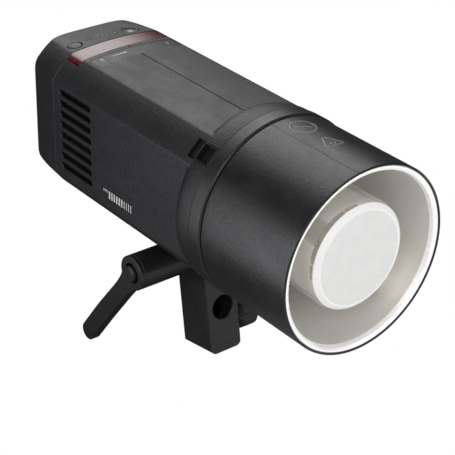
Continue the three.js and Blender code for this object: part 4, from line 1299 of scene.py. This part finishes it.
def build_ports():
    lo, hi = FLAP_LO, FLAP_HI
    flap = prism(seen_along("Y", (lo, hi), 0, 1.6), lo.y, hi.y, "Y", 0.45)
    finger = moved(rod(3.2, -3, 3, "Z", count=32), Matrix.Scale(0.45, 4, (0, 1, 0)))
    grooves = [block((x - 0.3, hi.y - 0.3, lo.z + 1.6), (x + 0.3, hi.y + 1, hi.z - 1.6))
               for x in (-12.5, -11.2, -9.9, 9.9, 11.2, 12.5)]
    flap = cut(flap, shifted(finger, 0, hi.y + 0.55, hi.z - 1.2), together(*grooves))
    piece("port_flap_cover", "flap", flap, M_RUBBER, "port_cover", sharp=35)
    jack_lo, jack_hi = size_of("sync_jack")
    jack = centre_of("sync_jack")
    profile = [(0, jack_lo.y), (3.2, jack_lo.y, 0.3), (3.2, jack_hi.y, 0.4), (1.75, jack_hi.y, 0.25),
               (1.75, 276.5), (0, 276.5)]
    barrel = lathe(profile, 3, "Y", (jack.x, jack.z), 48)
    piece("sync_jack_barrel", "head", barrel, M_BRASS, "sync_jack")
    usb = size_of("usb_socket")
    shell = prism(seen_along("Y", usb, 0, 1.6), usb[0].y, usb[1].y, "Y", 0.15)
    levels = [(277, 0), (usb[1].y - 0.2, 0), (usb[1].y + 0.5, 0.5)]
    shell = cut(shell, stacked(seen_along("Y", usb, -0.5, 1.2), levels, "Y"))
    piece("usb_socket_shell", "head", shell, M_STEEL, "usb_socket")
    x0, x1, z = usb[0].x + 1.6, usb[1].x - 1.6, usb[0].z
    piece("usb_socket_tongue", "head", block((x0, 276.8, z + 1.45), (x1, 282, z + 2.15), 0.12), M_PANEL)


def build_battery():
    lo, hi = BATTERY_LO, BATTERY_HI
    levels = [(lo.x, -1.2), (lo.x + 0.8, 0), (hi.x - 0.9, 0), (hi.x - 0.3, -0.15), (hi.x, -0.6)]
    pack = stacked(seen_along("X", (lo, hi), 0, 2.8), levels, "X")
    notch = block((0, 163.5, -10.5), (15.4, 190.5, 10.5))
    panel = stacked(rounded_rect(lo.y + 7, hi.y - 32, lo.z + 7, hi.z - 7, 3.0),
                    [(hi.x - 0.7, -0.7), (hi.x - 0.02, 0), (hi.x + 2, 2)], "X")
    groove_levels = [(hi.x - 1.3, -0.35), (hi.x - 0.6, 0), (hi.x + 0.02, 0.25), (hi.x + 2, 1)]
    grooves = []
    for y in (hi.y - 25 + 3.1 * i for i in range(7)):
        grooves.append(stacked(rounded_rect(y - 0.75, y + 0.75, -19, 19, 0.74, 4), groove_levels, "X"))
    pack = cut(pack, notch, panel, together(*grooves))
    piece("battery_case", "battery", pack, M_CASE, "battery_pack", sharp=30)
    y = lo.y + 12
    marks = [rounded_rect(y, y + length, z, z + width, r, 3)
             for length, z, width, r in ((18, 14.5, 2.0, 0.5), (11, 10.4, 1.0, 0.4), (14, 7.4, 1.0, 0.4))]
    arrow = [(hi.y - 40, -3.2), (hi.y - 40, 3.2), (hi.y - 35, 0)]
    printed("battery_marks", marks + [arrow], hi.x - 0.7, thickness=0.03, body="battery", plane="X")


# ---------------------------------------------------------------- foot, bracket and lever


def build_foot():
    lo, hi = size_of("foot_plate")
    plate = prism(rounded_rect(-15, 15, FOOT_Y - 22.5, FOOT_Y + 22.5, 2.2), -FLAT, hi.z, "Z", 0.4)
    reach = PIVOT_Z - lo.z
    turns = [RAD(t) for t in range(175, 366, 5)]
    arc = [(FOOT_Y + reach * math.cos(a), PIVOT_Z + reach * math.sin(a)) for a in turns]
    tongue = prism([(FOOT_Y - 14, -48.2)] + arc + [(FOOT_Y + 14, -48.2)], -4, 4, "X", 0.5)
    holes = [rod(4.2, -10, 10, "X", (FOOT_Y, PIVOT_Z))]
    screws = [centre_of(f"foot_screw_{i + 1}")[:2] for i in range(4)]
    for screw in screws:
        profile = [(0, -60), (4.5, -60), (4.5, -FLAT - 0.05), (4.0, -FLAT + 0.4), (4.0, -48.5), (2.3, -48.5),
                   (2.3, -40), (0, -40)]
        holes.append(turned(profile, "Z", screw, 36))
    foot = cut(fused(plate, tongue), together(*holes))
    piece("foot_plate_tongue", "head", foot, M_PAINT, "foot_plate", sharp=30)
    for i, screw in enumerate(screws):
        profile = [(0, -49.3), (1.4, -49.4), (1.4, -50.15, 0.2), (3.6, -50.35, 0.5), (3.7, -48.8, 0.3),
                   (2.0, -48.7), (2.0, -42, 0.3), (0, -42)]
        head = cut(lathe(profile, 3, "Z", screw, 40), prism(circle(1.65, screw, 6), -52, -49.35, "Z"))
        piece(f"foot_screw_head_{i + 1}", "head", head, M_STEEL, f"foot_screw_{i + 1}")


def build_bracket():
    lo, hi = size_of("stand_bracket", BRACKET)
    half, front, back, bottom, round_r = hi.x, lo.y, hi.y, lo.z, hi.z
    socket_y = (front + back) / 2
    cross_z, lock_z = -39.0, -55.5
    arc = [(round_r * math.cos(RAD(t)), round_r * math.sin(RAD(t))) for t in range(-4, 185, 4)]
    side = [(front, bottom, 0.01), (back, bottom, 0.01), (back, -9, 3.0)] + arc + [(front, -11, 4.0)]
    face = filleted([(-half, bottom, 4.6), (half, bottom, 4.6), (half, 30), (-half, 30)], 8)
    body = common(prism(filleted(side, 4), -half, half, "X", 1.15, 4), prism(face, -40, 40, "Y"))
    fork = block((-5.4, -30, -14.2), (5.4, 30, 30))
    cross = turned([(0, -30), (9.6, -30), (9.1, front - 0.1), (8.3, front + 0.75), (8.3, back - 0.75),
                    (9.1, back + 0.1), (9.6, 30), (0, 30)], "Y", (0, cross_z), 96)
    socket = turned([(0, -80), (9.6, -80), (8.9, bottom - 0.05), (8.2, bottom + 0.8), (8.2, -26), (0, -26)],
                    "Z", (0, socket_y), 72)
    bolt = rod(4.3, -20, 20, "X", count=36)
    seat = prism(circle(7.2, count=6), 10, 20, "X")
    screw = turned([(0, 0), (5, 0), (5, 10.8), (3.1, 10.8), (3.1, half - 0.5), (3.7, half + 0.1), (3.7, 20),
                    (0, 20)], "X", (socket_y, lock_z), 40)
    body = cut(body, fork, cross, socket, bolt, seat, screw)
    piece("stand_bracket_block", "bracket", body, M_PAINT, "stand_bracket", BRACKET, soft=0.35, sharp=32)
    for name, x0, x1 in (("left", -5.1, -4.3), ("right", 4.3, 5.1)):
        disc = lathe([(4.3, x0), (11.4, x0, 0.2), (11.4, x1, 0.2), (4.3, x1)], 3, "X", count=72, loop=True)
        piece("friction_washer_" + name, "bracket", disc, M_RUBBER, "friction_disc_" + name, BRACKET)
    bolt = fused(rod(3.9, -45, 11, "X", (0, 0), 0.5, 36), prism(circle(6.8, count=6), 10.3, 12.6, "X", 0.4))
    piece("clamp_bolt_shank", "bracket", bolt, M_STEEL, "clamp_bolt", BRACKET)
    profile = [(4.2, -13.1), (9.6, -13.1, 0.4), (9.6, -14.8, 0.4), (7.6, -15.2, 0.3), (7.6, -18.6, 0.5),
               (4.2, -18.6)]
    bush = lathe(profile, 3, "X", count=72, loop=True)
    piece("thrust_bush_ring", "bracket", bush, M_BRASS, "thrust_bush", BRACKET)


# The arm's straight length, its lean about the bolt, and the radii of the lever's hub and its recess.
ARM_TIP = 91.7
ARM_LEAN = RAD(-44.4)
HUB_R, RECESS_R = 12.05, 6.95
INSERT_TOP = -49.0


def lever_arm(outer, inner):
    """The lever's arm, with a wide root at the hub and a round tip."""
    upper = [(2.0, 11.4), (9.6, 7.3), (16, 5.9), (26, 5.6), (44, 6.2), (62, 6.7), (ARM_TIP, 6.7)]
    lower = [(2.0, -11.5), (8.6, -9.0), (16, -7.6), (27, -7.1), (44, -6.8), (62, -6.5), (ARM_TIP, -6.5)]
    tip = [(ARM_TIP + 6.6 * math.cos(RAD(t)), 0.1 + 6.6 * math.sin(RAD(t))) for t in range(-80, 81, 10)]
    outline = smooth_line(lower, 36) + tip + smooth_line(upper, 36)[::-1]
    return moved(prism(outline, outer, inner, "X", 0.9, 4), Matrix.Rotation(ARM_LEAN, 4, "X"))


def lever_handle(outer, inner):
    profile = [
        (0, outer), (HUB_R, outer, 0.7), (HUB_R, outer + 2.6, 0.2), (HUB_R - 0.3, outer + 2.8, 0.1),
        (HUB_R - 0.3, outer + 3.1, 0.1), (HUB_R, outer + 3.3, 0.2), (HUB_R, inner, 0.9), (0, inner),
    ]
    handle = fused(lathe(profile, 4, "X", count=128), lever_arm(outer + 0.02, outer + 7.1))
    mouth = turned([(0, outer - 5), (RECESS_R + 1.2, outer - 5), (RECESS_R + 0.5, outer - 0.05),
                    (RECESS_R, outer + 0.5), (RECESS_R, outer + 8), (0, outer + 8)], "X", count=72)
    return cut(handle, mouth, rod(RECESS_R, -49.2, 5, "X", count=48), rod(3.4, -60, -40, "X", count=36))


def spline_insert(inner):
    splines = 24
    turns = [2 * math.pi * k / (splines * 4) for k in range(splines * 4)]
    rows = []
    for x, drop in ((INSERT_TOP, 0.4), (INSERT_TOP + 0.6, 0.0), (inner - 0.8, 0.0), (inner - 0.2, 0.4)):
        radii = [(6.6 if k % 4 < 2 else 6.1) - drop for k in range(len(turns))]
        rows.append([(x, r * math.cos(a), r * math.sin(a)) for r, a in zip(radii, turns)])
    return cut(loft(rows), rod(4.2, -45.6, 0, "X", count=36))


def build_lever():
    lo, hi = size_of("lever_handle", BRACKET)
    handle = lever_handle(lo.x, hi.x)
    piece("clamp_lever", "lever", handle, M_PAINT, "lever_handle", BRACKET, sharp=32)
    face = size_of("lever_button", BRACKET)[0].x
    profile = [(0, face), (4.7, face, 0.8), (5.6, face + 0.8, 0.6), (5.6, -57, 0.3), (3, -57, 0.3),
               (3, -49.2), (0, -49.2)]
    button = lathe(profile, 5, "X", count=72)
    piece("lever_push_button", "lever_nut", button, M_PAINT, "lever_button", BRACKET, sharp=40)
    insert = spline_insert(hi.x)
    piece("lever_spline_insert", "lever_nut", insert, M_STEEL, "lever_insert", BRACKET, sharp=30)


def smooth_line(points, count):
    """Points evenly spread along a smooth curve through the given ones."""
    result = []
    spans = len(points) - 1
    for i in range(count + 1):
        t = spans * i / count
        k = min(int(t), spans - 1)
        u = t - k
        p = [Vector(points[max(0, min(spans, k + d))]) for d in (-1, 0, 1, 2)]
        curve = (p[1] * 2 + (p[2] - p[0]) * u + (p[0] * 2 - p[1] * 5 + p[2] * 4 - p[3]) * u**2
                 + (p[1] * 3 - p[0] - p[2] * 3 + p[3]) * u**3) / 2
        result.append(tuple(curve))
    return result


def build_socket_lock():
    lo, hi = size_of("lock_screw", BRACKET)
    y, z = (lo.y + hi.y) / 2, (lo.z + hi.z) / 2
    shoe_lo, shoe_hi = size_of("lock_shoe", BRACKET)
    shoe = rod(4.6, shoe_lo.x, shoe_hi.x, "X", (y, z), 0.4)
    piece("lock_shoe_disc", "shoe", shoe, M_BRASS, "lock_shoe", BRACKET)
    profile = [(0, 10.7), (2.4, 10.7), (2.7, 11.1)]
    for x in (11.2 + 0.75 * i for i in range(6)):
        profile += [(2.7, x), (2.25, x + 0.375)]
    profile += [(2.7, 15.8), (5.2, 15.8, 0.3), (5.2, 17.6, 0.3), (2.7, 17.6), (2.7, 26), (0, 26)]
    screw = lathe(profile, 2, "X", (y, z), 56)
    piece("lock_screw_thread", "knob", screw, M_CHROME, "lock_screw", BRACKET)
    flutes = 6
    turns = [2 * math.pi * k / 144 for k in range(144)]
    rows = []
    for x, reach in ((17.9, 8.3), (18.3, 8.8), (20.2, 11.0), (21.2, 11.7), (23.0, 12.0), (29.6, 12.0),
                     (31.6, 11.6), (33.0, 10.4), (33.7, 8.4), (34.0, 5.4)):
        depth = min(1.0, max(0.0, (reach - 7.6) / 3.4))
        radii = [reach - 1.75 * max(0.0, math.cos(flutes * a)) ** 1.6 * depth for a in turns]
        rows.append([(x, y + r * math.cos(a), z + r * math.sin(a)) for r, a in zip(radii, turns)])
    grip = cut(loft(rows), rod(3.0, 10, 26.4, "X", (y, z), 0, 36))
    piece("lock_knob_grip", "knob", grip, M_RUBBER, "lock_knob", BRACKET, sharp=45)


# ---------------------------------------------------------------- inside the case


def dress(node, material):
    """A CAD node that nothing replaces keeps its shape, with its own material and eased rims."""
    body = frame["nodes"][node]
    body.data.materials.clear()
    body.data.materials.append(material)
    ease_rims(body, 0.25, 35)


def build_capacitor(node, name):
    lo, hi = size_of(node)
    x, z = (lo.x + hi.x) / 2, (lo.z + hi.z) / 2
    r = (hi.x - lo.x) / 2
    profile = [(0, lo.y), (r - 2.2, lo.y, 0.5), (r - 0.2, lo.y + 1.6, 1.4), (r, lo.y + 3.2, 0.8),
               (r, hi.y - 1.6, 0.8), (r - 0.9, hi.y, 0.7), (r - 2.2, hi.y, 0.4), (r - 2.6, hi.y - 1.1, 0.3),
               (0, hi.y - 1.1)]
    piece(name, "head", lathe(profile, 4, "Y", (x, z)), M_CAN, node)
    stripe = [(x + a, z + b) for a, b in sector(r - 0.15, r + 0.04, 0, 14, 8)]
    piece(name + "_stripe", "head", prism(stripe, lo.y + 4, hi.y - 3, "Y"), M_PRINT)


def build_board(name, node, plane, chips):
    """A circuit board with chips given as middle (a, b), half size (a, b), foot and height."""
    box = size_of(node)
    k = 3 - sum(ACROSS[plane])
    plate = prism(seen_along(plane, box, 0, 1.2, 3), box[0][k], box[1][k], plane, 0.12)
    piece(name, "head", plate, M_BOARD, node)
    shapes = []
    for a, b, half_a, half_b, foot, tall in chips:
        outline = rounded_rect(a - half_a, a + half_a, b - half_b, b + half_b, 0.3, 2)
        shapes.append(prism(outline, *sorted((foot, foot + tall)), plane, 0.15))
    piece(name + "_parts", "head", together(*shapes), M_PANEL)


def build_boards():
    lo, hi = size_of("power_board")
    chips = []
    for i in range(5):
        for j in range(5):
            half = (3.2 + 0.5 * ((i + j) % 3), 2.6 + 0.6 * ((i * j) % 3))
            chips.append((lo.y + 12 + 13 * i, -30 + 15 * j, *half, hi.x - 0.02, 1.2 + 0.4 * (i % 3)))
    build_board("main_power_board", "power_board", "X", chips)
    face = size_of("control_board")[0].y + 0.02
    chips = []
    for i in range(5):
        for j in range(4):
            half = (2.6 + 0.5 * ((i + j) % 3), 2.0 + 0.6 * (i % 2))
            chips.append((-24 + 12 * i, -25 + 13 * j, *half, face, -1.3))
    build_board("panel_board", "control_board", "Y", chips)


def build_inside():
    build_capacitor("capacitor_upper", "flash_capacitor_upper")
    build_capacitor("capacitor_lower", "flash_capacitor_lower")
    build_boards()
    lo, hi = size_of("display_module")
    module = prism(seen_along("Y", (lo, hi), 0, 1.0, 3), lo.y, hi.y, "Y", 0.3)
    recess = block((lo.x + 2.2, hi.y - 0.4, lo.z + 2.2), (hi.x - 2.2, hi.y + 1, hi.z - 2.2))
    piece("display_backlight", "head", cut(module, recess), M_GUIDE, "display_module")
    build_transformer()
    build_heat_sink()
    build_fan()
    for node, look in (("chassis_tray", M_STEEL), ("battery_bay", M_PANEL), ("bay_contacts", M_BRASS)):
        dress(node, look)


def build_transformer():
    core = [block((-28, 206, z0), (-4, 238, z1), 0.5) for z0, z1 in ((-26, -14.1), (-13.9, -2))]
    piece("transformer_core", "head", together(*core), M_PANEL, "transformer")
    outer = grown(rounded_rect(-31, -1.5, -23, -5, 3.0, 4), -0.12)
    inner = rounded_rect(-29.6, -2.9, -21.6, -6.4, 2.0, 4)
    turns = []
    for y in (212.8 + 1.7 * i for i in range(12)):
        edges = ((outer, -0.4), (outer, 0.4), (inner, 0.4), (inner, -0.4))
        turns.append(loft([[(x, y + rise, z) for x, z in outline] for outline, rise in edges], loop=True))
    piece("transformer_winding", "head", together(*turns), M_BRASS)


def build_heat_sink():
    lo, hi = size_of("heat_sink")
    root = lo.z + 3
    outline = [(lo.x, lo.z), (hi.x, lo.z), (hi.x, root)]
    for i in reversed(range(7)):
        x0, x1 = -30 + 5 * i, -28.4 + 5 * i
        outline += [(x1, root), (x1 - 0.15, hi.z, 0.3), (x0 + 0.15, hi.z, 0.3), (x0, root)]
    fins = prism(filleted(outline, 3), lo.y, hi.y, "Y")
    piece("heat_sink_fins", "head", fins, M_STEEL, "heat_sink", soft=0.15)


def fan_blade(x_middle, turn):
    """A twisted blade, steeper at its root, with an oval section."""
    section = [(-3.0, -0.35), (0, -0.43), (3.0, -0.35), (3.1, 0), (3.0, 0.35), (0, 0.55), (-3.0, 0.35),
               (-3.1, 0)]
    rows = []
    for t in (j / 8 for j in range(9)):
        r = 9.0 + 8.6 * t
        pitch = RAD(58 - 14 * t)
        row = []
        for u, v in section:
            x = u * math.cos(pitch) - v * math.sin(pitch)
            a = (u * math.sin(pitch) + v * math.cos(pitch)) / r + 0.16 * t + turn
            row.append((x_middle + x, r * math.cos(a), r * math.sin(a)))
        rows.append(row)
    return loft(rows)


def build_fan():
    lo, hi = size_of("fan_frame")
    _, y, z = centre_of("fan_frame")
    shell = prism(rounded_rect(y - 20, y + 20, z - 20, z + 20, 3), lo.x, hi.x, "X", 0.4)
    shell = cut(shell, rod(18.6, lo.x - 5, hi.x + 5, "X", (y, z), 0, 72))
    spokes = [moved(block((-37, -19.2, -1.1), (-35.7, 19.2, 1.1), 0.3), Matrix.Rotation(RAD(t), 4, "X"))
              for t in (0, 90)]
    cross = fused(*spokes, rod(7, -37, -35.6, "X", (0, 0), 0.3, 40))
    shell = fused(shell, shifted(cross, 0, y, z))
    piece("fan_housing", "head", shell, M_PANEL, "fan_frame", sharp=32)
    pivot = HEAD.inverted() @ Vector(JOINTS["fan_spin"]["pos_m"])
    x0, x1 = pivot.x - 4, pivot.x + 3.4
    fan = lathe([(0, x0), (9.5, x0, 1.2), (9.5, x1, 0.4), (0, x1)], 4, "X", count=48)
    fan = fused(fan, *[fan_blade(pivot.x - 0.4, 2 * math.pi * i / 7) for i in range(7)])
    piece("fan_blades", "fan", shifted(fan, 0, pivot.y, pivot.z), M_KEYS, "fan_rotor", sharp=32)


def build_side_marks():
    """Plain upright bars where a nameplate would be: thin ones, bolder ones, then short ones."""
    marks = []
    y = 166.0
    for count, width, gap, low in ((4, 0.75, 1.75, -26.6), (6, 1.35, 1.45, -26.6), (4, 0.5, 0.9, -23.0)):
        for _ in range(count):
            marks.append(rounded_rect(y, y + width, low, -20.9, 0.24, 3))
            y += width + gap
    plate_x = -FLAT
    shapes = [prism(outline, plate_x - 0.04, plate_x + 0.3, "X") for outline in marks]
    piece("side_nameplate_bars", "head", together(*shapes), M_SIDE_PRINT)


# ---------------------------------------------------------------- floor, light and camera

FLOOR_GAP, FLOOR_HALF = 0.0005, 3.0
ROOM_DIM = 0.05
WHITE = (1, 1, 1, 1)


def floor_look():
    """White to the camera. Other rays meet a pale floor in front of the head and none behind it."""
    n = Nodes("floor_look")
    n.tree.nodes.remove(n.shader)
    shade = n.mix(n.noise(60, 2.0), rgb(0.76, 0.76, 0.76), rgb(0.80, 0.80, 0.80))
    apart = n.add("ShaderNodeSeparateXYZ", Vector=n.add("ShaderNodeNewGeometry").outputs["Position"])
    behind = n.ramp(apart.outputs["Y"], -0.22, 0.02)
    felt = n.add("ShaderNodeEmission", Color=shade, Strength=0.85)
    gap = n.add("ShaderNodeBsdfTransparent")
    seen = n.add("ShaderNodeEmission", Color=rgb(1, 1, 1), Strength=1.0)
    unseen = n.blend(behind, felt.outputs["Emission"], gap.outputs["BSDF"])
    n.finish(n.blend(n.camera_ray(), unseen, seen.outputs["Emission"]))
    return n.material


def build_floor():
    floor_z = cad_bounds[0].z - FLOOR_GAP
    mesh = bpy.data.meshes.new("floor")
    corners = [(a * FLOOR_HALF, b * FLOOR_HALF, floor_z) for a, b in ((-1, -1), (1, -1), (1, 1), (-1, 1))]
    mesh.from_pydata(corners, [], [(0, 1, 2, 3)])
    mesh.materials.append(floor_look())
    linked("floor", mesh)


# Glows as direction, cosine where each starts, cosine where it is full, and strength.
GLOWS = (
    ((0.28, 0.68, 0.68), 0.85, 0.965, 3.1),
    ((0.1, -1.0, 0.25), 0.35, 0.95, 0.55),
)


def build_world():
    """White to the camera. Other rays meet a dim room with a few broad glows."""
    world = bpy.data.worlds.new("studio")
    bpy.context.scene.world = world
    world.use_nodes = True
    n = Tree(world.node_tree)
    room = n.tree.nodes["Background"]
    direction = n.add("ShaderNodeTexCoord").outputs["Generated"]
    total = ROOM_DIM
    for aim, edge, core, level in GLOWS:
        turn = n.add("ShaderNodeVectorMath")
        turn.operation = "DOT_PRODUCT"
        n.feed(turn.inputs[0], direction)
        n.feed(turn.inputs[1], Vector(aim).normalized())
        glow = n.ramp(turn.outputs["Value"], edge, core, 0.0, level)
        glow.node.interpolation_type = "SMOOTHSTEP"
        total = n.math("ADD", glow, total, limited=False)
    n.feed(room.inputs["Strength"], total)
    n.feed(room.inputs["Color"], WHITE)
    seen = n.add("ShaderNodeBackground", Color=WHITE)
    shown = n.blend(n.camera_ray(), room.outputs[0], seen.outputs[0])
    n.feed(n.tree.nodes["World Output"].inputs["Surface"], shown)


def light(name, kind, place, power, colour):
    data = bpy.data.lights.new(name, kind)
    data.energy = power
    data.color = colour
    lamp = linked(name, data)
    lamp.location = place
    return lamp


def area_light(name, place, target, size, power, colour=(1, 1, 1)):
    lamp = light(name, "AREA", place, power, colour)
    lamp.data.shape = "RECTANGLE"
    lamp.data.size, lamp.data.size_y = size
    lamp.rotation_euler = (Vector(target) - Vector(place)).to_track_quat("-Z", "Y").to_euler()


def build_lights():
    centre = (cad_bounds[0] + cad_bounds[1]) / 2
    area_light("front_left_softbox", (-1.35, -1.0, 1.25), centre, (0.9, 0.9), 10)
    area_light("front_fill", (0.35, -1.7, 0.45), centre, (0.9, 0.9), 8)
    area_light("left_strip", (-0.38, 0.13, 0.12), (0.0, 0.13, 0.12), (0.24, 0.40), 1.0, (0.96, 0.97, 1.0))


def build_glow_lamp():
    """The modelling lamp's faint warm light inside the dome."""
    place = HEAD @ Vector((0, centre_of("glass_dome").y - 12, 0))
    lamp = light("dome_glow", "POINT", place, 0.006, (1.0, 0.94, 0.86))
    lamp.data.shadow_soft_size = 0.009


def build_camera():
    data = bpy.data.cameras.new("photo_view")
    data.sensor_width = 36.0
    data.lens = 121.575
    data.clip_start, data.clip_end = 0.05, 20.0
    camera = linked("photo_view", data)
    camera.location = (-0.5461, -0.6804, 0.5896)
    camera.rotation_euler = Euler((RAD(60.4301), RAD(-1.2407), RAD(-38.0927)), "XYZ")
    bpy.context.scene.camera = camera


# ---------------------------------------------------------------- everything in order

BUILDERS = (
    build_case, build_vent_screen, build_rear_cover, build_top_windows, build_top_controls,
    build_front_ring, build_release_slider, build_reflector_tube, build_reflector_cone, build_lamp,
    build_flash_tube, build_control_panel, build_ports, build_battery, build_foot, build_bracket,
    build_lever, build_socket_lock, build_inside, build_side_marks, build_floor, build_world, build_lights,
    build_glow_lamp, build_camera,
)
for build in BUILDERS:
    build()
bpy.context.scene.view_settings.view_transform = "Standard"
